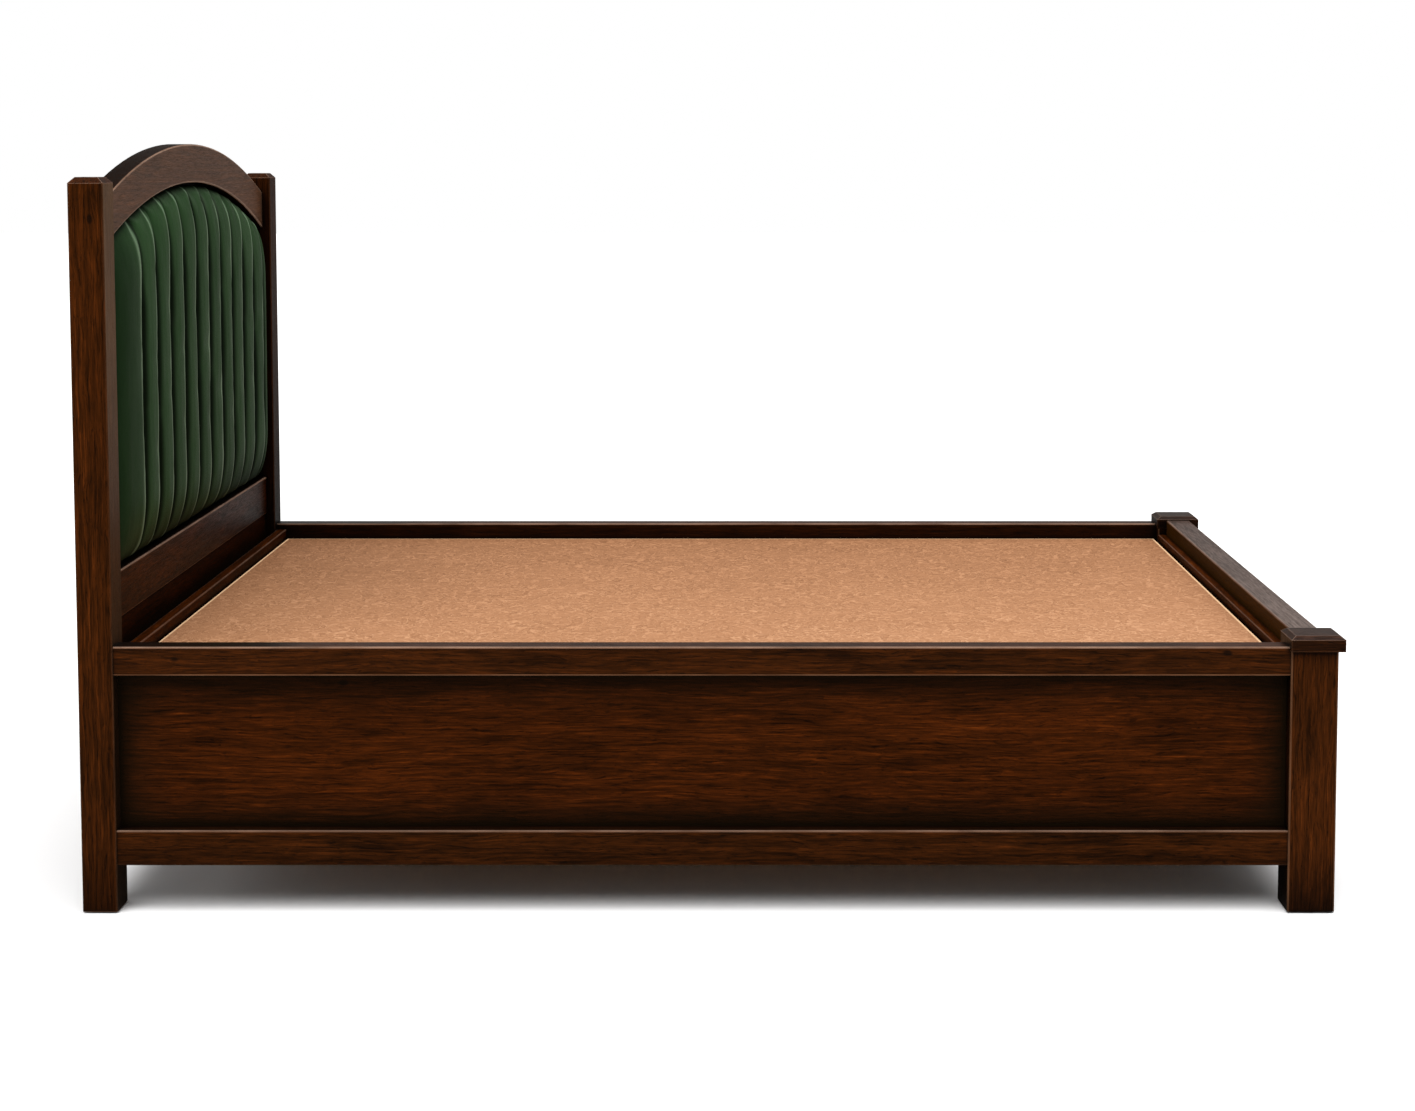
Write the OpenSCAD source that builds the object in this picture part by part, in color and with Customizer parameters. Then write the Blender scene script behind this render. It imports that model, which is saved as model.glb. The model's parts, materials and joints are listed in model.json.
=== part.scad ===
// Double bed frame: framed side panels, low capped foot posts, and a tall
// headboard with an arched crest rail over a channelled leather pad.
// Head end at -X, foot end at +X, left side (seen from the foot) at -Y, floor at z = 0.

/* [Mattress space] */
// Length of the mattress that the frame takes
mattress_l = 2000; // [1900:10:2100]
// Width of the mattress that the frame takes
mattress_w = 1400; // [1200:10:1800]
// Total play along the mattress
play_l = 16; // [8:1:30]
// Total play across the mattress
play_w = 12; // [6:1:30]

/* [Headboard] */
// Height of the arch crown above the floor
crown_z = 1314; // [1290:1:1400]
// Rise of the arch from its ends to its crown
arch_rise = 102; // [80:1:110]
// Depth of the arched crest rail, measured along the arch radius
crest_band = 75; // [60:1:85]
// Height of the headboard posts
head_post_h = 1254; // [1240:1:1300]
// Headboard post size along the bed
head_post_x = 60; // [56:1:80]
// Headboard post size across the bed
head_post_y = 70; // [60:1:80]
// Chamfer around the top of each headboard post
post_chamfer = 10.5; // [6:0.5:14]
// Thickness of the crest rail, mid rail and bottom rail
head_rail_t = 40; // [36:1:44]
// Set-back of those rails behind the bed-side face of the posts
head_set = 18; // [14:1:18]
// Underside of the mid rail
mid_z0 = 487; // [480:1:500]
// Top of the mid rail
mid_z1 = 570; // [560:1:590]
// Thickness of the lower headboard panel
head_panel_t = 12; // [9:1:14]

/* [Leather pad] */
// Number of vertical channels
channels = 13; // [9:1:17]
// Depth of the channels from crest to seam
channel_depth = 15; // [8:1:20]
// Gap between the pad and the wood around it
pad_gap = 4; // [2:0.5:6]
// Plywood behind the foam
pad_board_t = 12; // [9:1:14]
// Leather thickness
leather_t = 2; // [1.5:0.5:3]

/* [Sides] */
// Clear height under the side and end panels
clear_z = 82; // [60:1:110]
// Height of the bottom rails
low_rail_h = 61; // [50:1:70]
// Height of the top rails of the sides
top_rail_h = 50; // [46:1:56]
// Top of the side frames above the floor
side_z = 460; // [455:1:465]
// Thickness of the side rails
side_rail_t = 45; // [42:1:50]
// Set-back of the side rails from the outer face of the posts
side_set = 3; // [2:0.5:6]
// Thickness of the side and foot panels
panel_t = 15; // [12:1:15]

/* [Footboard] */
// Foot posts are square, this is their size
foot_post = 81; // [76:1:90]
// Height of the foot posts below their caps
foot_post_h = 453; // [448:1:458]
// Height of the straight part of a cap
cap_h = 20.5; // [18:0.5:24]
// Height of the chamfer on a cap
cap_bevel = 6.5; // [4:0.5:9]
// Inset of the chamfer on a cap
cap_inset = 9; // [6:0.5:12]
// Overhang of a cap on the two outer sides
cap_out = 10; // [6:0.5:12]
// Overhang of a cap over the end of the side rail
cap_in = 2; // [1:0.5:3]
// Thickness of the foot rails
foot_rail_t = 51; // [46:1:54]
// Top of the foot rail above the floor
foot_rail_z = 471.5; // [465:0.5:475]

/* [Deck] */
// Top of the deck board above the floor
deck_z = 426; // [422:1:430]
// Thickness of the deck board
deck_t = 18; // [15:1:20]
// Number of bearers under the deck
bearer_n = 7; // [7:1:7]
// Width of a bearer
bearer_w = 70; // [50:1:90]
// Thickness of a bearer
bearer_t = 20; // [18:1:22]
// Height of the ledgers, cleats and centre beam
beam_h = 60; // [50:1:60]
// Width of the centre beam
beam_w = 60; // [50:1:70]
// Size of the two square centre legs
leg_w = 50; // [40:1:60]
// Distance of each centre leg from the middle of the bed
leg_x = 340; // [300:10:400]

/* [Hardware] */
// Diameter of the bed bolts
bolt_d = 8; // [6:1:8]
// Length of the bed bolts under the head
bolt_l = 100; // [96:1:104]
// Diameter of the cross nuts
nut_d = 12; // [11:0.5:14]
// Diameter of the wooden dowels
dowel_d = 10; // [8:1:12]
// Diameter of the wood screws
screw_d = 4; // [3:0.5:5]
// Thickness of the felt glides under the posts and legs
glide_t = 2.5; // [2:0.5:4]

/* [Hidden] */
$fn = 48;

WOOD = [0.20, 0.10, 0.06];
WOOD2 = [0.26, 0.13, 0.07];
RAW = [0.72, 0.57, 0.40];
BOARD = [0.72, 0.47, 0.32];
GREEN = [0.12, 0.22, 0.15];
STEEL = [0.60, 0.60, 0.62];

e = 0.01;
arris = 3;                                   // rounding on show edges
hw = (mattress_w + play_w) / 2;              // half the clear width between the side rails
py1 = hw + side_rail_t + side_set;           // outer face of the posts
hpy = py1 - head_post_y;                     // inner face of the headboard posts
fpy = py1 - foot_post;                       // inner face of the foot posts
rail_y = hw + side_rail_t / 2;               // middle of a side rail
in_l = mattress_l + play_l;
foot_back = 19;                              // foot rail behind the bed-side face of its posts
L = head_post_x + in_l - foot_back + foot_post + cap_out;
xa = -L / 2;                                 // back of the headboard posts
xb = xa + head_post_x;                       // bed-side face of the headboard posts
xf = xb - head_set;                          // front of the headboard rails
xr = xf - head_rail_t;                       // back of the headboard rails
xi = xb + in_l;                              // inner face of the foot rail
xc = xi - foot_back;                         // bed-side face of the foot posts
xd = xc + foot_post;                         // outer face of the foot posts
xp = xf - 4;                                 // front of the lower headboard panel
R = (hpy * hpy + arch_rise * arch_rise) / (2 * arch_rise);  // outer arch radius
arch_c = crown_z - R;                        // height of the arch centre
Ri = R - crest_band;                         // inner arch radius
back_t = 5;                                  // back panel thickness
seat_z = deck_z - deck_t;                    // underside of the deck board
top_z = seat_z - bearer_t;                   // top of ledgers, cleats and beam
low_z = clear_z + low_rail_h;                // top of the bottom rails
rail_z = side_z - top_rail_h;                // underside of the side top rails
tongue = 6;
deck_x0 = xb + 25;
deck_x1 = xc - 6;
deck_y = hw - 5;
batten_x = xb + 21;
head_batten_z = deck_z + 21;
foot_batten_z = deck_z + 14;
bolt_z = [rail_z + top_rail_h / 2, clear_z + low_rail_h / 2];
nut_in = 45;                                 // cross nut from the rail end
head_sink = 12;                              // counterbore in a headboard post
foot_sink = foot_post + nut_in + 7 - bolt_l; // counterbore in a foot post
bearer_x = [for (i = [0:bearer_n - 1]) deck_x0 + 60 + i * (deck_x1 - deck_x0 - 120) / (bearer_n - 1)];
ledger_screw_x = [for (i = [0:5]) xb + 120 + i * (xc - xb - 240) / 5];
batten_screw_y = [-560, -280, 0, 280, 560];
head_dowel_z = [crown_z - 164, crown_z - 130, mid_z0 + 21, mid_z1 - 21, clear_z + 18, low_z - 18];
foot_dowel_z = [rail_z + 12, foot_post_h - 12, clear_z + 18, low_z - 18];
pad_screw_yz = [for (y = [-560, -190, 190, 560]) for (z = [mid_z1 + 60, crown_z - 260]) [y, z]];

// Points of a rectangle with rounded corners
function rr(x0, y0, x1, y1, r, n = 3) = [for (c = [[x1 - r, y1 - r, 0], [x0 + r, y1 - r, 90],
    [x0 + r, y0 + r, 180], [x1 - r, y0 + r, 270]]) for (i = [0:n])
    [c[0] + r * cos(c[2] + 90 * i / n), c[1] + r * sin(c[2] + 90 * i / n)]];

module along_x(x0, x1) { translate([x0, 0, 0]) rotate([90, 0, 90]) linear_extrude(x1 - x0) children(); }
module along_y(y0, y1) { translate([0, y1, 0]) rotate([90, 0, 0]) linear_extrude(y1 - y0) children(); }
module along_z(z0, z1) { translate([0, 0, z0]) linear_extrude(z1 - z0) children(); }
module box(x0, x1, y0, y1, z0, z1) { translate([x0, y0, z0]) cube([x1 - x0, y1 - y0, z1 - z0]); }
module bar_x(x0, x1, y0, y1, z0, z1, r = arris) { along_x(x0, x1) polygon(rr(y0, z0, y1, z1, r)); }
module bar_y(y0, y1, x0, x1, z0, z1, r = arris) { along_y(y0, y1) polygon(rr(x0, z0, x1, z1, r)); }
module bar_z(z0, z1, x0, x1, y0, y1, r = arris) { along_z(z0, z1) polygon(rr(x0, y0, x1, y1, r)); }
module rod_x(x0, x1, y, z, d) { translate([x0, y, z]) rotate([0, 90, 0]) cylinder(h = x1 - x0, d = d); }
module rod_y(y0, y1, x, z, d) { translate([x, y1, z]) rotate([90, 0, 0]) cylinder(h = y1 - y0, d = d); }
module rod_z(z0, z1, x, y, d) { translate([x, y, z0]) cylinder(h = z1 - z0, d = d); }
// Children are drawn on the left side, or mirrored to the right side
module side(s) { if (s > 0) mirror([0, 1, 0]) children(); else children(); }

// Countersunk wood screw, head up, its top at the origin
module screw(l, d = screw_d) {
    rotate_extrude() polygon([[0, 0], [d, 0], [d / 2, -d * 0.7], [d / 2, -l + 4], [0, -l]]);
}
// Clearance for that screw: countersink, loose hole to depth a, pilot hole to depth b
module screw_hole(a, b, d = screw_d) {
    rotate_extrude() polygon([[0, 0.5], [d + 0.2, 0.5], [d + 0.2, -0.15], [d / 2 + 0.3, -d * 0.7 - 0.2],
        [d / 2 + 0.3, -a], [d / 2 + 0.05, -a], [d / 2 + 0.05, -b], [0, -b]]);
}

// Space under the inner edge of the crest rail, g less on each side
module pad_space(x0, x1, g) {
    intersection() {
        translate([x0, 0, arch_c]) rotate([0, 90, 0]) cylinder(h = x1 - x0, r = Ri - g, $fn = 720);
        box(x0 - 1, x1 + 1, -hpy + g, hpy - g, mid_z1 + g, crown_z);
    }
}

// Holes along the bed for the bed bolts of both sides
module bolt_holes() {
    for (s = [-1, 1]) for (z = bolt_z) {
        rod_x(xa - 1, xa + head_sink, s * rail_y, z, 20);
        rod_x(xa + 1, xb + nut_in + 14, s * rail_y, z, bolt_d + 1);
        rod_x(xd - foot_sink, xd + 1, s * rail_y, z, 20);
        rod_x(xc - nut_in - 14, xd - 1, s * rail_y, z, bolt_d + 1);
    }
}
// Holes from below for the cross nuts
module nut_holes() {
    for (s = [-1, 1]) for (x = [xb + nut_in, xc - nut_in]) {
        rod_z(rail_z - 1, bolt_z[0] + 15.5, x, s * rail_y, nut_d);
        rod_z(clear_z - 1, bolt_z[1] + 15.5, x, s * rail_y, nut_d);
    }
}
module dowel_set(d, l) {
    for (s = [-1, 1]) {
        for (z = head_dowel_z) rod_y(s * hpy - l / 2, s * hpy + l / 2, (xf + xr) / 2, z, d);
        for (z = foot_dowel_z) rod_y(s * fpy - l / 2, s * fpy + l / 2, xi + foot_rail_t / 2, z, d);
    }
}
module glide_at(x, y, hole = false) {
    rod_z(hole ? glide_t - 1 : 0, glide_t, x, y, hole ? 1 : 34);
    rod_z(glide_t - e, glide_t + (hole ? 16 : 15), x, y, hole ? 3.1 : 3);
}

// ---------------------------------------------------------------- headboard

// Post with eased corners and a chamfered top
module head_post_blank() {
    intersection() {
        bar_z(glide_t, head_post_h, xa, xb, -py1, -hpy);
        along_y(-py1 - 1, -hpy + 1) polygon([[xa, 0], [xb, 0], [xb, head_post_h - post_chamfer],
            [xb - post_chamfer, head_post_h], [xa + post_chamfer, head_post_h], [xa, head_post_h - post_chamfer]]);
        along_x(xa - 1, xb + 1) polygon([[-py1, 0], [-hpy, 0], [-hpy, head_post_h - post_chamfer],
            [-hpy - post_chamfer, head_post_h], [-py1 + post_chamfer, head_post_h], [-py1, head_post_h - post_chamfer]]);
    }
}
module head_post(s) {
    color(WOOD) difference() {
        side(s) head_post_blank();
        bolt_holes();
        dowel_set(dowel_d, 51);
        // groove for the back panel, and groove for the lower panel
        box(xr, xr + back_t, -hpy - 8, hpy + 8, mid_z1 - 8, 1160);
        box(xp - head_panel_t, xp, -hpy - tongue, hpy + tongue, low_z - tongue, mid_z0 + tongue);
        glide_at(xa + head_post_x / 2, s * (py1 - head_post_y / 2), true);
    }
}

// Panel that closes the back of the arched opening, let into rebates all round
module back_panel_blank() {
    difference() {
        intersection() {
            translate([xr, 0, arch_c]) rotate([0, 90, 0]) cylinder(h = back_t, r = Ri + 8, $fn = 720);
            box(xr - 1, xr + back_t + 1, -hpy - 8, hpy + 8, mid_z1 - 8, crown_z);
        }
        for (s = [-1, 1]) box(xr - 1, xr + back_t + 1, s > 0 ? hpy : -hpy - 9, s > 0 ? hpy + 9 : -hpy, 1120, crown_z);
    }
}
module headboard_back_panel() {
    color(WOOD2) difference() {
        back_panel_blank();
        for (p = pad_screw_yz) translate([xr, p[0], p[1]]) rotate([0, -90, 0]) screw_hole(back_t + 1, back_t + 2);
    }
}

// Arched crest rail: a ring of eased section cut off square at the posts
module crest_rail() {
    color(WOOD) difference() {
        intersection() {
            translate([0, 0, arch_c]) rotate([0, 90, 0])
                rotate_extrude($fn = 720) polygon(rr(Ri, xr, R, xf, arris));
            box(xr - 1, xf + 1, -hpy, hpy, 1000, crown_z + 1);
        }
        back_panel_blank();
        dowel_set(dowel_d, 51);
    }
}
module head_mid_rail() {
    color(WOOD) difference() {
        bar_y(-hpy, hpy, xr, xf, mid_z0, mid_z1);
        back_panel_blank();
        dowel_set(dowel_d, 51);
        box(xp - head_panel_t, xp, -hpy - 1, hpy + 1, mid_z0 - 1, mid_z0 + tongue);
    }
}
module head_bottom_rail() {
    color(WOOD) difference() {
        bar_y(-hpy, hpy, xr, xf, clear_z, low_z);
        dowel_set(dowel_d, 51);
        box(xp - head_panel_t, xp, -hpy - 1, hpy + 1, low_z - tongue, low_z + 1);
    }
}
module head_lower_panel() {
    color(WOOD2) difference() {
        box(xp - head_panel_t, xp, -hpy - tongue + 0.5, hpy + tongue - 0.5, low_z - tongue + 0.5, mid_z0 + tongue - 0.5);
        batten_screw_holes();
    }
}
// Cross piece on the lower panel that carries the batten and the head end of the beam
module head_cleat() {
    color(RAW) difference() {
        box(xp, xb, -hpy, hpy, top_z - beam_h, deck_z - 1);
        batten_screw_holes();
        hanger_screw_holes();
    }
}
// Edge strip around the head end of the deck
module head_batten() {
    color(WOOD) difference() {
        bar_y(-hw, hw, xb, batten_x, top_z + 2, head_batten_z, 2.5);
        batten_screw_holes();
    }
}

// ---------------------------------------------------------------- leather pad

pad_w = 2 * (hpy - pad_gap);
pitch = pad_w / channels;
pad_x0 = xr + back_t + pad_board_t;          // front of the pad board
pad_x1 = xb;                                 // crest of the channels
// Front outline of the pad seen from above: one shallow arc for each channel
function channel_pts(x, k = 8) = [for (c = [0:channels - 1]) for (i = [0:k - 1])
    let(t = i / k * 2 - 1) [x - channel_depth * (1 - sqrt(1 - 0.97 * t * t)) / (1 - sqrt(0.03)), -pad_w / 2 + (c + i / k) * pitch]];
module channel_solid(x0, x1) {
    along_z(mid_z1 - 1, crown_z)
        polygon(concat([[x0, -pad_w / 2]], channel_pts(x1), [[x1 - channel_depth, pad_w / 2], [x0, pad_w / 2]]));
}
module pad_board() {
    color(RAW) difference() {
        pad_space(xr + back_t, pad_x0, pad_gap + leather_t);
        for (p = pad_screw_yz) translate([xr, p[0], p[1]]) rotate([0, -90, 0]) screw_hole(back_t, 17);
    }
}
module pad_foam() {
    color([0.85, 0.80, 0.62]) intersection() {
        channel_solid(pad_x0, pad_x1 - leather_t);
        pad_space(pad_x0, pad_x1 + 1, pad_gap + leather_t);
    }
}
module pad_leather() {
    color(GREEN) difference() {
        intersection() {
            channel_solid(xr + back_t, pad_x1);
            pad_space(xr + back_t, pad_x1 + 1, pad_gap);
        }
        intersection() {
            channel_solid(xr + back_t - 1, pad_x1 - leather_t);
            pad_space(xr + back_t - 1, pad_x1 + 1, pad_gap + leather_t);
        }
    }
}

// ---------------------------------------------------------------- footboard

module foot_post(s) {
    cx = xc + foot_post / 2;
    cy = s * (py1 - foot_post / 2);
    color(WOOD) difference() {
        side(s) bar_z(glide_t, foot_post_h, xc, xd, -py1, -fpy);
        bolt_holes();
        dowel_set(dowel_d, 51);
        rod_z(foot_post_h - 20.5, foot_post_h + 1, cx, cy, 12);
        // groove for the foot panel
        box(xi, xi + panel_t, -fpy - tongue, fpy + tongue, low_z - tongue, rail_z + tongue);
        glide_at(cx, cy, true);
    }
}
// Cap: a flat block with a wide shallow chamfer around its top, flush with the post where the foot rail meets it
module foot_cap(s) {
    x0 = xc - cap_in;
    x1 = xd + cap_out;
    y0 = -py1 - cap_out;
    y1 = -fpy;
    z0 = foot_post_h;
    z1 = z0 + cap_h;
    z2 = z1 + cap_bevel;
    color(WOOD) difference() {
        side(s) intersection() {
            bar_z(z0, z2, x0, x1, y0, y1, 2);
            along_y(y0 - 1, y1 + 1) polygon([[x0 + 1, z0], [x1 - 1, z0], [x1, z0 + 1], [x1, z1], [x1 - cap_inset, z2], [x0 + cap_inset, z2], [x0, z1], [x0, z0 + 1]]);
            along_x(x0 - 1, x1 + 1) polygon([[y0 + 1, z0], [y1 - 1, z0], [y1, z0 + 1], [y1, z1], [y1 - cap_inset, z2], [y0 + cap_inset, z2], [y0, z1], [y0, z0 + 1]]);
        }
        rod_z(z0 - 1, z0 + 15.5, xc + foot_post / 2, s * (py1 - foot_post / 2), 12);
        // notch over the end of the side top rail
        side(s) box(x0 - 1, xc, -hw - side_rail_t - 0.2, -hw + 0.2, z0 - 1, side_z + 0.2);
    }
}
module foot_top_rail() {
    color(WOOD) difference() {
        bar_y(-fpy, fpy, xi, xi + foot_rail_t, rail_z, foot_rail_z);
        dowel_set(dowel_d, 51);
        box(xi - 1, xi + panel_t, -fpy - 1, fpy + 1, rail_z - 1, rail_z + tongue);
        batten_screw_holes();
    }
}
module foot_bottom_rail() {
    color(WOOD) difference() {
        bar_y(-fpy, fpy, xi, xi + foot_rail_t, clear_z, low_z);
        dowel_set(dowel_d, 51);
        box(xi - 1, xi + panel_t, -fpy - 1, fpy + 1, low_z - tongue, low_z + 1);
    }
}
module foot_panel() {
    color(WOOD2) difference() {
        box(xi, xi + panel_t, -fpy - tongue + 0.5, fpy + tongue - 0.5, low_z - tongue, rail_z + tongue);
        batten_screw_holes();
    }
}
module foot_cleat() {
    color(RAW) difference() {
        box(xc, xi, -fpy, fpy, top_z - beam_h, top_z);
        batten_screw_holes();
        hanger_screw_holes();
    }
}
// Edge strip around the foot end of the deck, rebated so that a fine groove shows behind it
module foot_batten() {
    color(WOOD) difference() {
        bar_y(-fpy, fpy, xc, xi, top_z + 2, foot_batten_z, 2);
        box(xi - 3, xi + 1, -fpy - 1, fpy + 1, foot_batten_z - 9, foot_batten_z + 1);
        batten_screw_holes();
    }
}

// ---------------------------------------------------------------- sides

module side_top_rail(s) {
    color(WOOD) difference() {
        side(s) bar_x(xb, xc, -hw - side_rail_t, -hw, rail_z, side_z);
        box(xb - 1, xc + 1, s > 0 ? hw - 1 : -hw - panel_t, s > 0 ? hw + panel_t : -hw + 1, rail_z - 1, rail_z + tongue);
        bolt_holes();
        nut_holes();
    }
}
module side_bottom_rail(s) {
    color(WOOD) difference() {
        side(s) bar_x(xb, xc, -hw - side_rail_t, -hw, clear_z, low_z);
        box(xb - 1, xc + 1, s > 0 ? hw - 1 : -hw - panel_t, s > 0 ? hw + panel_t : -hw + 1, low_z - tongue, low_z + 1);
        bolt_holes();
        nut_holes();
    }
}
module side_panel(s) {
    color(WOOD2) difference() {
        side(s) box(xb, xc, -hw - panel_t, -hw, low_z - tongue, rail_z + tongue);
        ledger_screw_holes();
    }
}
module side_ledger(s) {
    color(RAW) difference() {
        side(s) box(xb, xc, -hw, -hw + 30, top_z - beam_h, top_z);
        ledger_screw_holes();
        bearer_screw_holes();
    }
}

// ---------------------------------------------------------------- deck

module deck_board() {
    color(BOARD) box(deck_x0, deck_x1, -deck_y, deck_y, seat_z, deck_z);
}
module bearer(i) {
    color(RAW) difference() {
        bar_x(bearer_x[i] - bearer_w / 2, bearer_x[i] + bearer_w / 2, -hw + 2, hw - 2, top_z, seat_z, 1);
        bearer_screw_holes();
    }
}
module centre_beam() {
    color(RAW) difference() {
        box(xb + 3, xc - 3, -beam_w / 2, beam_w / 2, top_z - beam_h, top_z);
        bearer_screw_holes();
        for (s = [-1, 1]) rod_z(top_z - beam_h - 1, top_z - beam_h + 30.5, s * leg_x, 0, 8.1);
    }
}
module centre_leg(s) {
    color(RAW) difference() {
        bar_z(glide_t, top_z - beam_h, s * leg_x - leg_w / 2, s * leg_x + leg_w / 2, -leg_w / 2, leg_w / 2, 2);
        rod_z(top_z - beam_h - 30.5, top_z - beam_h + 1, s * leg_x, 0, 8.1);
        glide_at(s * leg_x, 0, true);
    }
}
// Folded steel hanger that carries an end of the beam, d = 1 at the head, -1 at the foot
module beam_hanger(d) {
    x = d > 0 ? xb : xc;
    b = beam_w / 2;
    color(STEEL) difference() {
        union() {
            box(min(x, x + 3 * d), max(x, x + 3 * d), -b - 23, b + 23, top_z - beam_h - 3, top_z - 3);
            difference() {
                box(min(x, x + 43 * d), max(x, x + 43 * d), -b - 3, b + 3, top_z - beam_h - 3, top_z - 12);
                box(min(x + 3 * d, x + 44 * d), max(x + 3 * d, x + 44 * d), -b, b, top_z - beam_h, top_z);
            }
        }
        hanger_screw_holes();
    }
}

// ---------------------------------------------------------------- hardware

module bed_bolts() {
    color(STEEL) for (s = [-1, 1]) for (z = bolt_z) {
        rod_x(xa + head_sink, xa + head_sink + bolt_l, s * rail_y, z, bolt_d);
        rod_x(xa + head_sink - 5, xa + head_sink, s * rail_y, z, 17);
        rod_x(xd - foot_sink - bolt_l, xd - foot_sink, s * rail_y, z, bolt_d);
        rod_x(xd - foot_sink, xd - foot_sink + 5, s * rail_y, z, 17);
    }
}
module barrel_nuts() {
    color(STEEL) difference() {
        for (s = [-1, 1]) for (x = [xb + nut_in, xc - nut_in]) for (z = bolt_z)
            rod_z(z - 15, z + 15, x, s * rail_y, nut_d - 0.1);
        for (s = [-1, 1]) for (z = bolt_z) {
            rod_x(xb + nut_in - 10, xb + nut_in + 10, s * rail_y, z, bolt_d + 0.1);
            rod_x(xc - nut_in - 10, xc - nut_in + 10, s * rail_y, z, bolt_d + 0.1);
        }
    }
}
// Turned wooden plugs that close the bolt holes
module bolt_plugs() {
    color(WOOD2) for (s = [-1, 1]) for (z = bolt_z) {
        translate([xa, s * rail_y, z]) rotate([0, 90, 0]) cylinder(h = 6, d = 19.9);
        translate([xd - 5.5, s * rail_y, z]) rotate([0, 90, 0]) cylinder(h = 6, d = 19.9);
    }
}
module frame_dowels() { color(RAW) dowel_set(dowel_d - 0.1, 50); }
module cap_dowels() {
    color(RAW) for (s = [-1, 1]) rod_z(foot_post_h - 20, foot_post_h + 15, xc + foot_post / 2, s * (py1 - foot_post / 2), 11.9);
}
module leg_studs() {
    color(STEEL) for (s = [-1, 1]) rod_z(top_z - beam_h - 30, top_z - beam_h + 30, s * leg_x, 0, 8);
}
module bearer_screw_places() { for (x = bearer_x) for (y = [-hw + 15, 0, hw - 15]) translate([x, y, seat_z]) children(); }
module bearer_screw_holes() { bearer_screw_places() screw_hole(bearer_t, 46); }
module bearer_screws() { color(STEEL) translate([0, 0, -0.3]) bearer_screw_places() screw(45); }

module ledger_screw_places() {
    for (x = ledger_screw_x) {
        translate([x, -hw + 30, top_z - beam_h / 2]) rotate([-90, 0, 0]) children();
        translate([x, hw - 30, top_z - beam_h / 2]) rotate([90, 0, 0]) children();
    }
}
module ledger_screw_holes() { ledger_screw_places() screw_hole(30, 41); }
module ledger_screws() { color(STEEL) ledger_screw_places() translate([0, 0, -0.3]) screw(40); }

// Head: cleat to panel, batten to cleat. Foot: cleat to panel, batten to rail.
module batten_screw_places(k) {
    for (y = batten_screw_y) {
        if (k == 0) translate([xb, y + 60, top_z - 18]) rotate([0, 90, 0]) children();
        if (k == 1) translate([batten_x, y, top_z + 14]) rotate([0, 90, 0]) children();
        if (k == 2) translate([xc, y + 60, top_z - 18]) rotate([0, -90, 0]) children();
        if (k == 3) translate([xc, y, rail_z + 11]) rotate([0, -90, 0]) children();
    }
}
module batten_screw_holes() {
    batten_screw_places(0) screw_hole(xb - xp, 31);
    batten_screw_places(1) screw_hole(batten_x - xb, 36);
    batten_screw_places(2) screw_hole(xi - xc, 31);
    batten_screw_places(3) screw_hole(xi - xc, 46);
}
module batten_screws() {
    color(STEEL) {
        batten_screw_places(0) translate([0, 0, -0.3]) screw(30);
        batten_screw_places(1) translate([0, 0, -0.3]) screw(35);
        batten_screw_places(2) translate([0, 0, -0.3]) screw(30);
        batten_screw_places(3) translate([0, 0, -0.3]) screw(45);
    }
}
module pad_screws() {
    color(STEEL) for (p = pad_screw_yz) translate([xr + 0.2, p[0], p[1]]) rotate([0, -90, 0]) screw(16);
}
module hanger_screw_places() {
    for (y = [-beam_w / 2 - 13, beam_w / 2 + 13]) for (z = [top_z - beam_h + 12, top_z - 18]) {
        translate([xb + 3, y, z]) rotate([0, 90, 0]) children();
        translate([xc - 3, y, z]) rotate([0, -90, 0]) children();
    }
}
module hanger_screw_holes() { hanger_screw_places() screw_hole(3, 19); }
module hanger_screws() { color(STEEL) hanger_screw_places() translate([0, 0, -0.2]) screw(18); }
module floor_glides() {
    color([0.25, 0.25, 0.25]) {
        for (s = [-1, 1]) {
            glide_at(xa + head_post_x / 2, s * (py1 - head_post_y / 2));
            glide_at(xc + foot_post / 2, s * (py1 - foot_post / 2));
            glide_at(s * leg_x, 0);
        }
    }
}

head_post(-1);  // head_post_left
head_post(1);  // head_post_right
crest_rail();
head_mid_rail();
head_bottom_rail();
head_lower_panel();
head_cleat();
head_batten();
headboard_back_panel();
pad_board();
pad_foam();
pad_leather();
foot_post(-1);  // foot_post_left
foot_post(1);  // foot_post_right
foot_cap(-1);  // foot_cap_left
foot_cap(1);  // foot_cap_right
foot_top_rail();
foot_panel();
foot_bottom_rail();
foot_cleat();
foot_batten();
side_top_rail(-1);  // side_top_rail_left
side_top_rail(1);  // side_top_rail_right
side_panel(-1);  // side_panel_left
side_panel(1);  // side_panel_right
side_bottom_rail(-1);  // side_bottom_rail_left
side_bottom_rail(1);  // side_bottom_rail_right
side_ledger(-1);  // side_ledger_left
side_ledger(1);  // side_ledger_right
deck_board();
centre_beam();
centre_leg(-1);  // centre_leg_head
centre_leg(1);  // centre_leg_foot
beam_hanger(1);  // beam_hanger_head
beam_hanger(-1);  // beam_hanger_foot
bearer(0);  // bearer_1
bearer(1);  // bearer_2
bearer(2);  // bearer_3
bearer(3);  // bearer_4
bearer(4);  // bearer_5
bearer(5);  // bearer_6
bearer(6);  // bearer_7
bed_bolts();
barrel_nuts();
bolt_plugs();
frame_dowels();
cap_dowels();
leg_studs();
bearer_screws();
ledger_screws();
batten_screws();
pad_screws();
hanger_screws();
floor_glides();
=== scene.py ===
import json
import math
import zlib

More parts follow.
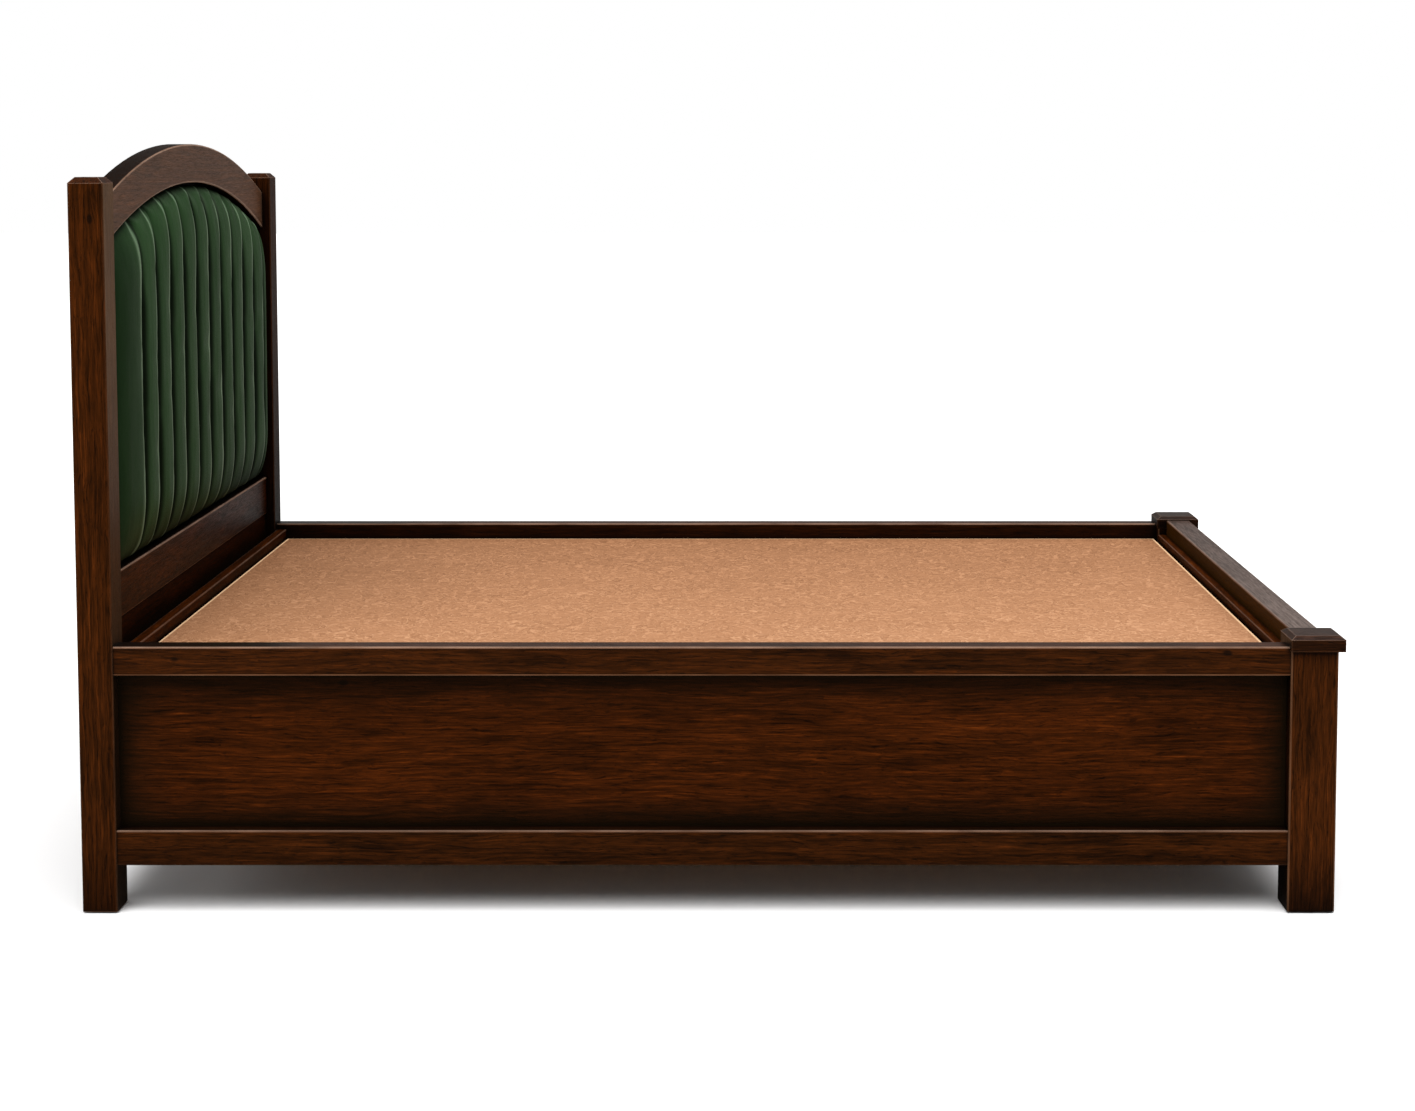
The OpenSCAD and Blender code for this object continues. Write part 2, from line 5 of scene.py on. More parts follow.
import bmesh
import bpy
import numpy as np
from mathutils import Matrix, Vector


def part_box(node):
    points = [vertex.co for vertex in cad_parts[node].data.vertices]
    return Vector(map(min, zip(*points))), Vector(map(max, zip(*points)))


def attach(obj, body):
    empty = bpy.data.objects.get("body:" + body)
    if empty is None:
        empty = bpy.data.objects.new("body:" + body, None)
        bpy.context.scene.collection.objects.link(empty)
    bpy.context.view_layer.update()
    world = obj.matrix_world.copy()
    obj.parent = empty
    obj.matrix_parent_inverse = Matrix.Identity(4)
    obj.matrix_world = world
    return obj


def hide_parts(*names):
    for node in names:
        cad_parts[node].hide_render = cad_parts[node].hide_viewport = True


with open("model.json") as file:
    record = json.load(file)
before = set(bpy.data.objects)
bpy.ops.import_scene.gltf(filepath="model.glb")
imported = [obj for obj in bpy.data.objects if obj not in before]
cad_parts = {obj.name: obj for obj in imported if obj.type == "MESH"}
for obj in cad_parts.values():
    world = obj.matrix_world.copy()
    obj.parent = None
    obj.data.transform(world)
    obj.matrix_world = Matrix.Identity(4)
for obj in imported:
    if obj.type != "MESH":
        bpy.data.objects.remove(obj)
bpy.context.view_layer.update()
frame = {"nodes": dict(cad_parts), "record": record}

scene = bpy.context.scene
nodes_of = frame["nodes"]

# ---------------------------------------------------------------- colour handling
scene.view_settings.view_transform = "Standard"
scene.view_settings.look = "None"
scene.view_settings.exposure = 0.0
scene.view_settings.gamma = 1.0

# ---------------------------------------------------------------- camera
# The photograph is 1415 x 1111 and looks level along +Y from a point off the frame's middle.
IMG_W, IMG_H = 1415, 1111
CAM = dict(x=0.0812, y=-4.9603, z=1.2794, pitch=4.64, f=2515.0, shift=(-0.0364, -0.134))
cam_data = bpy.data.cameras.new("camera_main")
cam_data.sensor_fit = "HORIZONTAL"
cam_data.sensor_width = 36.0
cam_data.lens = 36.0 * CAM["f"] / IMG_W
cam_data.shift_x, cam_data.shift_y = CAM["shift"]
cam_data.clip_start, cam_data.clip_end = 0.05, 200.0
camera = bpy.data.objects.new("camera_main", cam_data)
camera.location = (CAM["x"], CAM["y"], CAM["z"])
camera.rotation_euler = (math.radians(90.0 - CAM["pitch"]), 0.0, 0.0)
scene.collection.objects.link(camera)
scene.camera = camera


# ---------------------------------------------------------------- node helpers
def N(t, kind, ins=None, **props):
    """Adds one shader node; ins maps an input's name or number to a value or an output."""
    nd = t.nodes.new("ShaderNode" + kind)
    for k, v in props.items():
        setattr(nd, k, v)
    for k, v in (ins or {}).items():
        s = nd.inputs[k]
        if isinstance(v, bpy.types.NodeSocket):
            t.links.new(v, s)
        else:
            s.default_value = v
    return nd


def M(t, op, a, b=0.0, c=0.0, clamp=False):
    ins = {0: a}
    nd = t.nodes.new("ShaderNodeMath")
    nd.operation, nd.use_clamp = op, clamp
    for i, v in enumerate((a, b, c)):
        if i >= len(nd.inputs):
            break
        if isinstance(v, bpy.types.NodeSocket):
            t.links.new(v, nd.inputs[i])
        else:
            nd.inputs[i].default_value = v
    return nd.outputs[0]


def VM(t, op, a, b=(0, 0, 0)):
    nd = t.nodes.new("ShaderNodeVectorMath")
    nd.operation = op
    for i, v in enumerate((a, b)):
        if isinstance(v, bpy.types.NodeSocket):
            t.links.new(v, nd.inputs[i])
        else:
            nd.inputs[i].default_value = v
    return nd


def mix(t, fac, a, b, blend="MIX"):
    nd = t.nodes.new("ShaderNodeMix")
    nd.data_type, nd.blend_type, nd.clamp_factor = "RGBA", blend, True
    for i, v in ((0, fac), (6, a), (7, b)):
        if isinstance(v, bpy.types.NodeSocket):
            t.links.new(v, nd.inputs[i])
        else:
            nd.inputs[i].default_value = (*v, 1.0) if hasattr(v, "__len__") and len(v) == 3 else v
    return nd.outputs[2]


def ramp(t, fac, stops, interp="EASE"):
    nd = t.nodes.new("ShaderNodeValToRGB")
    nd.color_ramp.interpolation = interp
    el = nd.color_ramp.elements
    while len(el) < len(stops):
        el.new(0.5)
    for e, (p, c) in zip(el, stops):
        e.position = p
        e.color = (*c, 1.0) if hasattr(c, "__len__") else (c, c, c, 1.0)
    t.links.new(fac, nd.inputs[0])
    return nd.outputs[0]


def rng(t, v, lo, hi, a=0.0, b=1.0, smooth=False):
    nd = N(t, "MapRange", {0: v, 1: lo, 2: hi, 3: a, 4: b}, clamp=True)
    if smooth:
        nd.interpolation_type = "SMOOTHSTEP"
    return nd.outputs[0]


def noise(t, vec, detail=2.0, rough=0.5, dist=0.0, scale=1.0):
    return N(t, "TexNoise", {"Vector": vec, "Scale": scale, "Detail": detail, "Roughness": rough, "Distortion": dist})


def material(name):
    m = bpy.data.materials.new(name)
    m.use_nodes = True
    t = m.node_tree
    t.nodes.clear()
    out = t.nodes.new("ShaderNodeOutputMaterial")
    bsdf = t.nodes.new("ShaderNodeBsdfPrincipled")
    t.links.new(bsdf.outputs[0], out.inputs[0])
    return m, t, bsdf


def seed_of(name):
    """Three offsets in metres that differ from piece to piece and never change."""
    h = zlib.crc32(name.encode())
    return ((h & 1023) / 97.0, ((h >> 10) & 1023) / 131.0, ((h >> 20) & 1023) / 113.0)


def grain_space(t, axis, seed):
    """Position along the grain in x, across it in y and z, moved by the piece's own offset."""
    pos = N(t, "TexCoord").outputs["Object"]
    sep = N(t, "SeparateXYZ", {0: pos}).outputs
    order = {"X": (0, 1, 2), "Y": (1, 2, 0), "Z": (2, 0, 1)}[axis]
    comb = N(t, "CombineXYZ", {0: sep[order[0]], 1: sep[order[1]], 2: sep[order[2]]}).outputs[0]
    return VM(t, "ADD", comb, seed).outputs[0]


def scaled(t, vec, s):
    return VM(t, "MULTIPLY", vec, s).outputs[0]


def arris_mask(t, kind="bar"):
    """1 on the rounded edges of a member, 0 on its faces."""
    nrm = N(t, "NewGeometry").outputs["True Normal"]
    if kind == "bevel":
        # pieces with wide chamfers: only the lines where two faces meet
        soft = N(t, "Bevel", {"Radius": 0.0022}, samples=6).outputs[0]
        return rng(t, M(t, "SUBTRACT", 1.0, VM(t, "DOT_PRODUCT", soft, nrm).outputs["Value"]), 0.006, 0.050)
    s = N(t, "SeparateXYZ", {0: VM(t, "ABSOLUTE", nrm).outputs[0]}).outputs
    if kind == "arch":
        # the arch turns in the YZ plane, so its arrises are the faces that lean in X
        xx = M(t, "MULTIPLY", s[0], s[0])
        return rng(t, M(t, "MULTIPLY", xx, M(t, "SUBTRACT", 1.0, xx)), 0.015, 0.060)
    mx = M(t, "MAXIMUM", M(t, "MAXIMUM", s[0], s[1]), s[2])
    return rng(t, M(t, "SUBTRACT", 1.0, mx), 0.010, 0.032)


def occlusion(t, distance, power, samples=6):
    """Stain and shadow that gather in corners."""
    ao = N(t, "AmbientOcclusion", {"Distance": distance}, samples=samples)
    return M(t, "POWER", ao.outputs["AO"], power)


def inset_band(t, lo, hi, widths):
    """1 at the border of a rectangle in the XZ or YZ plane, fading to 0 inside it."""
    sep = N(t, "SeparateXYZ", {0: N(t, "TexCoord").outputs["Object"]}).outputs
    out = None
    for i in range(3):
        if widths[i] is None:
            continue
        for sgn, edge, w in ((1.0, lo[i], widths[i][0]), (-1.0, hi[i], widths[i][1])):
            d = M(t, "MULTIPLY", M(t, "SUBTRACT", sep[i], edge), sgn)
            b = rng(t, d, 0.0, w, 0.0, 1.0)
            b = M(t, "POWER", b, 0.55)
            out = b if out is None else M(t, "MULTIPLY", out, b)
    return M(t, "SUBTRACT", 1.0, out)


# ---------------------------------------------------------------- dark stained wood
DARK = [
    (0.00, (0.0040, 0.0015, 0.0005)),
    (0.26, (0.0150, 0.0042, 0.0007)),
    (0.46, (0.0335, 0.0084, 0.0011)),
    (0.62, (0.0560, 0.0132, 0.0017)),
    (0.80, (0.1050, 0.0250, 0.0032)),
    (1.00, (0.2000, 0.0540, 0.0085)),
]
BLACKISH = (0.0022, 0.0011, 0.0006)


def dark_wood(name, axis, figure=1.0, tone=0.0, streak=1.0, edges="bar", band=None, corner=2.2, under=0.15, front=None, tint=None, shade=None, ior=1.11, polish=0.75, top_sheen=0.0, rub_and_highlight=1.0, calm=1.0, face_light=None, post_reflection=None):
    m, t, bsdf = material(name)
    sd = seed_of(name)
    p = grain_space(t, axis, sd)
    # slow bends of the whole grain, then small waves in it
    slow = VM(t, "SUBTRACT", noise(t, scaled(t, p, (1.7, 6.0, 6.0)), 2.0).outputs["Color"], (0.5, 0.5, 0.5)).outputs[0]
    small = VM(t, "SUBTRACT", noise(t, scaled(t, p, (11.0, 26.0, 26.0)), 2.0).outputs["Color"], (0.5, 0.5, 0.5)).outputs[0]
    bend = VM(t, "ADD", scaled(t, slow, (0.0, 0.030, 0.030)), scaled(t, small, (0.0, 0.0075, 0.0075))).outputs[0]
    q = VM(t, "ADD", p, bend).outputs[0]
    # growth rings round a heart that lies outside the member
    sq = N(t, "SeparateXYZ", {0: q}).outputs
    sp = N(t, "SeparateXYZ", {0: p}).outputs
    dv = M(t, "SUBTRACT", sq[1], sd[1] + 0.09)
    dw = M(t, "SUBTRACT", sq[2], sd[2] - 0.11)
    r = M(t, "SQRT", M(t, "ADD", M(t, "MULTIPLY", dv, dv), M(t, "MULTIPLY", dw, dw)))
    r = M(t, "ADD", r, M(t, "MULTIPLY", noise(t, scaled(t, p, (0.8, 2.0, 2.0)), 1.0).outputs[0], 0.05))
    ring = M(t, "FRACT", M(t, "MULTIPLY", r, 82.0))
    ring = M(t, "POWER", ring, 2.2)
    ring = M(t, "MULTIPLY", ring, noise(t, scaled(t, p, (3.0, 14.0, 14.0)), 1.0).outputs[0])
    # streaks, fibres, broad tone
    tone_n = noise(t, scaled(t, p, (1.1, 9.0, 9.0)), 3.0, 0.55).outputs[0]
    st = noise(t, scaled(t, q, (8.0, 235.0, 235.0)), 3.0, 0.66).outputs[0]
    st = rng(t, st, 0.32, 0.70)
    fib = noise(t, scaled(t, q, (24.0, 430.0, 430.0)), 2.0, 0.6).outputs[0]
    flame = noise(t, scaled(t, VM(t, "ADD", q, (3.1, 7.7, 1.9)).outputs[0], (7.0, 190.0, 190.0)), 3.0, 0.62).outputs[0]
    flame = rng(t, flame, 0.54, 0.74, smooth=True)
    # short dark checks that wander across the grain
    chk = noise(t, scaled(t, VM(t, "ADD", q, scaled(t, small, (0.0, 0.020, 0.020))).outputs[0], (15.0, 350.0, 350.0)), 2.0, 0.6).outputs[0]
    chk = rng(t, chk, 0.33, 0.40, 1.0, 0.0)
    v = M(t, "MULTIPLY_ADD", M(t, "SUBTRACT", tone_n, 0.5), 0.30, 0.475 + tone)
    v = M(t, "ADD", v, M(t, "MULTIPLY", M(t, "SUBTRACT", st, 0.5), 0.28 * streak * calm))
    v = M(t, "ADD", v, M(t, "MULTIPLY", M(t, "SUBTRACT", fib, 0.5), 0.58 * calm))
    v = M(t, "ADD", v, M(t, "MULTIPLY", flame, 0.13 * streak * calm))
    v = M(t, "SUBTRACT", v, M(t, "MULTIPLY", chk, 0.20 * calm))
    # blotches where the stain has gone in deeper
    blot = noise(t, scaled(t, VM(t, "ADD", p, (8.2, 1.3, 4.4)).outputs[0], (5.0, 15.0, 15.0)), 2.0, 0.55).outputs[0]
    v = M(t, "SUBTRACT", v, M(t, "MULTIPLY_ADD", rng(t, blot, 0.46, 0.66, smooth=True), 0.10, -0.033))
    v = M(t, "SUBTRACT", v, M(t, "MULTIPLY_ADD", ring, 0.21 * figure, 0.020 * figure))
    col = ramp(t, v, DARK, "LINEAR")
    if tint:
        col = mix(t, 1.0, col, tint, "MULTIPLY")
    # open pores, short dark dashes
    pore = noise(t, scaled(t, q, (55.0, 1500.0, 1500.0)), 1.0).outputs[0]
    pore = rng(t, pore, 0.64, 0.72)
    col = mix(t, M(t, "MULTIPLY", pore, 0.65), col, (0.004, 0.002, 0.001))
    # a few small pin knots
    vor = N(t, "TexVoronoi", {"Vector": scaled(t, q, (5.5, 11.0, 11.0)), "Scale": 1.0, "Randomness": 1.0}, feature="F1")
    knot = rng(t, vor.outputs["Distance"], 0.035, 0.060, 1.0, 0.0)
    col = mix(t, M(t, "MULTIPLY", knot, 0.8), col, (0.004, 0.002, 0.001))
    # stain and painted shade gather in corners, and a panel gets painted shade towards its frame
    ao = occlusion(t, 0.120, corner)
    col = mix(t, M(t, "SUBTRACT", 1.0, ao), col, BLACKISH)
    # a fine dark line where two members meet
    seam = occlusion(t, 0.0095, 3.4, 6)
    col = mix(t, M(t, "SUBTRACT", 1.0, seam), col, BLACKISH)
    # painted shade: the panel darkens towards the rails and posts that overhang it
    if band:
        dark = inset_band(t, *band)
        cloud = noise(t, scaled(t, p, (2.5, 9.0, 9.0)), 2.0).outputs[0]
        col = mix(t, M(t, "MULTIPLY", dark, rng(t, cloud, 0.25, 0.75, 0.78, 0.98)), col, (0.0070, 0.0042, 0.0014))
    # painted shade: faces that look towards the middle of the bed are darkened near the floor, and, where a shade is
    # given, low down beside the bedding, less towards the near end
    at = N(t, "SeparateXYZ", {0: N(t, "TexCoord").outputs["Object"]}).outputs
    pz = at[2]
    ax = M(t, "MULTIPLY", N(t, "SeparateXYZ", {0: N(t, "NewGeometry").outputs["True Normal"]}).outputs[0], M(t, "MULTIPLY", M(t, "SIGN", at[0]), -1.0))
    low_shade = rng(t, pz, 0.060, 0.100, 0.80, 0.0)
    if shade:
        side = rng(t, N(t, "SeparateXYZ", {0: N(t, "TexCoord").outputs["Object"]}).outputs[1], -0.70, 0.30, shade[3], 1.0)
        low_shade = M(t, "MAXIMUM", low_shade, M(t, "MULTIPLY", rng(t, pz, shade[0], shade[1], shade[2], 0.0), side))
    col = mix(t, M(t, "MULTIPLY", low_shade, rng(t, ax, 0.5, 0.9)), col, BLACKISH)
    if top_sheen:
        # painted sheen: the top of this member is lightened to a pale grey, most at the near end; its grain stays dark
        lift = M(t, "MULTIPLY", rng(t, N(t, "SeparateXYZ", {0: N(t, "NewGeometry").outputs["True Normal"]}).outputs[2], 0.80, 0.95), rng(t, v, 0.20, 0.60, 0.35, 1.0))
        along = rng(t, N(t, "SeparateXYZ", {0: N(t, "TexCoord").outputs["Object"]}).outputs[1], -0.70, 0.70, 1.0, 0.45)
        col = mix(t, M(t, "MULTIPLY", M(t, "MULTIPLY", lift, along), top_sheen), col, (0.190, 0.150, 0.132))
    if face_light:
        # painted light: one face of the member is made paler, most of all high up
        nxf = rng(t, M(t, "MULTIPLY", N(t, "SeparateXYZ", {0: N(t, "NewGeometry").outputs["True Normal"]}).outputs[0], face_light[5]), 0.75, 0.95)
        fade = M(t, "MULTIPLY", rng(t, pz, face_light[0], face_light[1], face_light[2], face_light[3]), rng(t, v, 0.20, 0.60, 0.70, 1.0))
        col = mix(t, M(t, "MULTIPLY", nxf, fade), col, face_light[4])
    # rubbed arrises, painted paler: part wear, part painted highlight
    wear_n = noise(t, scaled(t, p, (9.0, 30.0, 30.0)), 3.0, 0.6).outputs[0]
    wear_and_highlight = M(t, "MULTIPLY", arris_mask(t, edges), rng(t, wear_n, 0.30, 0.62, 0.40, 1.0))
    wear_and_highlight = M(t, "MULTIPLY", wear_and_highlight, rng(t, ao, 0.0, 0.10, 0.6, 1.0) if edges == "arch" else rng(t, ao, 0.02, 0.35))
    # hands and cloths reach the upper arrises, where the painted highlight also turns them a pale grey; the undersides
    # stay dark
    up = N(t, "SeparateXYZ", {0: N(t, "NewGeometry").outputs["True Normal"]}).outputs[2]
    wear_and_highlight = M(t, "MULTIPLY", wear_and_highlight, rng(t, up, -0.15, 0.15, under, 1.0))
    wear_and_highlight_col = mix(t, rng(t, up, 0.12, 0.55), (0.340, 0.230, 0.165) if edges == "arch" else (0.185, 0.085, 0.042), (0.300, 0.185, 0.130))
    col = mix(t, M(t, "MULTIPLY", wear_and_highlight, 0.78 * rub_and_highlight), col, wear_and_highlight_col)
    if edges == "arch":
        # painted shade: the top of the arch is darkened nearly black
        col = mix(t, M(t, "MULTIPLY", rng(t, up, 0.80, 0.93), 0.93), col, BLACKISH)
        # and its back is as dark as the rest of the frame
        back = rng(t, N(t, "SeparateXYZ", {0: N(t, "NewGeometry").outputs["True Normal"]}).outputs[0], -0.95, -0.75, 0.66, 0.0)
        col = mix(t, back, col, (0.0170, 0.0050, 0.0012))
    if post_reflection:
        # painted reflection: the top of the rail is darkened beside the headboard post, as if the post mirrored in it
        dim = M(t, "MULTIPLY", rng(t, at[0], post_reflection[0], post_reflection[1], 1.0, 0.0, smooth=True), rng(t, up, 0.93, 0.98))
        col = mix(t, M(t, "MULTIPLY", dim, 0.85), col, BLACKISH)
    t.links.new(col, bsdf.inputs["Base Color"])
    rough = M(t, "MULTIPLY_ADD", st, 0.10, 0.34)
    rough = M(t, "ADD", rough, M(t, "MULTIPLY", pore, 0.25))
    rough = M(t, "SUBTRACT", rough, M(t, "MULTIPLY", wear_and_highlight, 0.08))
    t.links.new(rough, bsdf.inputs["Roughness"])
    bsdf.inputs["IOR"].default_value = ior
    # years of polish on the upper faces, and on the bed side of the headboard
    fine = M(t, "MULTIPLY", rng(t, st, 0.0, 1.0, 0.55, 1.0), rng(t, fib, 0.30, 0.60, 0.45, 1.0))
    polish = M(t, "MULTIPLY", M(t, "MULTIPLY", rng(t, up, 0.55, 0.95), polish), fine)
    if front:
        nx = N(t, "SeparateXYZ", {0: N(t, "NewGeometry").outputs["True Normal"]}).outputs[0]
        py = N(t, "SeparateXYZ", {0: N(t, "TexCoord").outputs["Object"]}).outputs[1]
        polish = M(t, "MAXIMUM", polish, M(t, "MULTIPLY", M(t, "MULTIPLY", rng(t, nx, 0.55, 0.95), rng(t, py, -0.70, 0.70, *front)), fine))
    t.links.new(polish, bsdf.inputs["Coat Weight"])
    bsdf.inputs["Coat IOR"].default_value = 1.22
    bsdf.inputs["Coat Roughness"].default_value = 0.30
    h = M(t, "ADD", M(t, "MULTIPLY", fib, 0.45), M(t, "MULTIPLY", st, 0.45))
    h = M(t, "SUBTRACT", h, M(t, "MULTIPLY", pore, 0.8))
    h = M(t, "SUBTRACT", h, M(t, "MULTIPLY", ring, 0.35))
    h = M(t, "SUBTRACT", h, M(t, "MULTIPLY", chk, 0.5))
    bump = N(t, "Bump", {"Strength": 0.50, "Distance": 0.0008, "Height": h})
    t.links.new(bump.outputs[0], bsdf.inputs["Normal"])
    t.links.new(bump.outputs[0], bsdf.inputs["Coat Normal"])
    return m


# ---------------------------------------------------------------- unfinished wood
def pale_wood(name, axis, light=(0.64, 0.44, 0.25), dark=(0.42, 0.25, 0.115), knots=True, ply=None, shaded_top=False):
    m, t, bsdf = material(name)
    sd = seed_of(name)
    p = grain_space(t, axis, sd)
    slow = VM(t, "SUBTRACT", noise(t, scaled(t, p, (1.3, 5.0, 5.0)), 2.0).outputs["Color"], (0.5, 0.5, 0.5)).outputs[0]
    q = VM(t, "ADD", p, scaled(t, slow, (0.0, 0.03, 0.03))).outputs[0]
    sq = N(t, "SeparateXYZ", {0: q}).outputs
    dv = M(t, "SUBTRACT", sq[1], sd[1] + 0.05)
    dw = M(t, "SUBTRACT", sq[2], sd[2] - 0.06)
    r = M(t, "SQRT", M(t, "ADD", M(t, "MULTIPLY", dv, dv), M(t, "MULTIPLY", dw, dw)))
    ring = M(t, "POWER", M(t, "FRACT", M(t, "MULTIPLY", r, 210.0)), 2.6)
    fib = noise(t, scaled(t, q, (22.0, 520.0, 520.0)), 2.0, 0.6).outputs[0]
    tone_n = noise(t, scaled(t, p, (2.0, 7.0, 7.0)), 3.0).outputs[0]
    f = M(t, "ADD", M(t, "MULTIPLY", ring, 0.52), M(t, "MULTIPLY", M(t, "SUBTRACT", fib, 0.5), 0.45))
    f = M(t, "ADD", f, M(t, "MULTIPLY", M(t, "SUBTRACT", tone_n, 0.5), 0.55), clamp=True)
    col = mix(t, f, light, dark)
    if knots:
        vor = N(t, "TexVoronoi", {"Vector": scaled(t, q, (3.2, 9.0, 9.0)), "Scale": 1.0, "Randomness": 1.0}, feature="F1")
        knot = rng(t, vor.outputs["Distance"], 0.06, 0.13, 1.0, 0.0, smooth=True)
        col = mix(t, M(t, "MULTIPLY", knot, 0.85), col, (0.15, 0.062, 0.024))
    if ply:
        # plies show as bands through the thickness of the sheet
        sep = N(t, "SeparateXYZ", {0: N(t, "TexCoord").outputs["Object"]}).outputs
        band = M(t, "FRACT", M(t, "MULTIPLY", sep["XYZ".index(ply[0])], 1.0 / ply[1]))
        band = rng(t, M(t, "ABSOLUTE", M(t, "SUBTRACT", band, 0.5)), 0.20, 0.30)
        nrm = VM(t, "ABSOLUTE", N(t, "NewGeometry").outputs["True Normal"]).outputs[0]
        side = M(t, "LESS_THAN", N(t, "SeparateXYZ", {0: nrm}).outputs["XYZ".index(ply[0])], 0.5)
        col = mix(t, M(t, "MULTIPLY", M(t, "MULTIPLY", band, side), 0.7), col, (0.26, 0.15, 0.07))
    # painted shade: darker in corners and hollows
    ao = occlusion(t, 0.05, 1.0)
    col = mix(t, M(t, "MULTIPLY", M(t, "SUBTRACT", 1.0, ao), 0.5), col, (0.10, 0.055, 0.025))
    if shaded_top:
        # painted shade: the one face that shows, its top, is darkened to a deep brown
        top = rng(t, N(t, "SeparateXYZ", {0: N(t, "NewGeometry").outputs["True Normal"]}).outputs[2], 0.5, 0.8)
        col = mix(t, M(t, "MULTIPLY", top, rng(t, tone_n, 0.30, 0.70, 0.90, 0.97)), col, (0.0200, 0.0075, 0.0022))
    t.links.new(col, bsdf.inputs["Base Color"])
    t.links.new(M(t, "MULTIPLY_ADD", fib, 0.2, 0.52), bsdf.inputs["Roughness"])
    bsdf.inputs["IOR"].default_value = 1.35
    h = M(t, "ADD", M(t, "MULTIPLY", fib, 0.6), M(t, "MULTIPLY", ring, 0.4))
    bump = N(t, "Bump", {"Strength": 0.35, "Distance": 0.0007, "Height": h})
    t.links.new(bump.outputs[0], bsdf.inputs["Normal"])
    return m


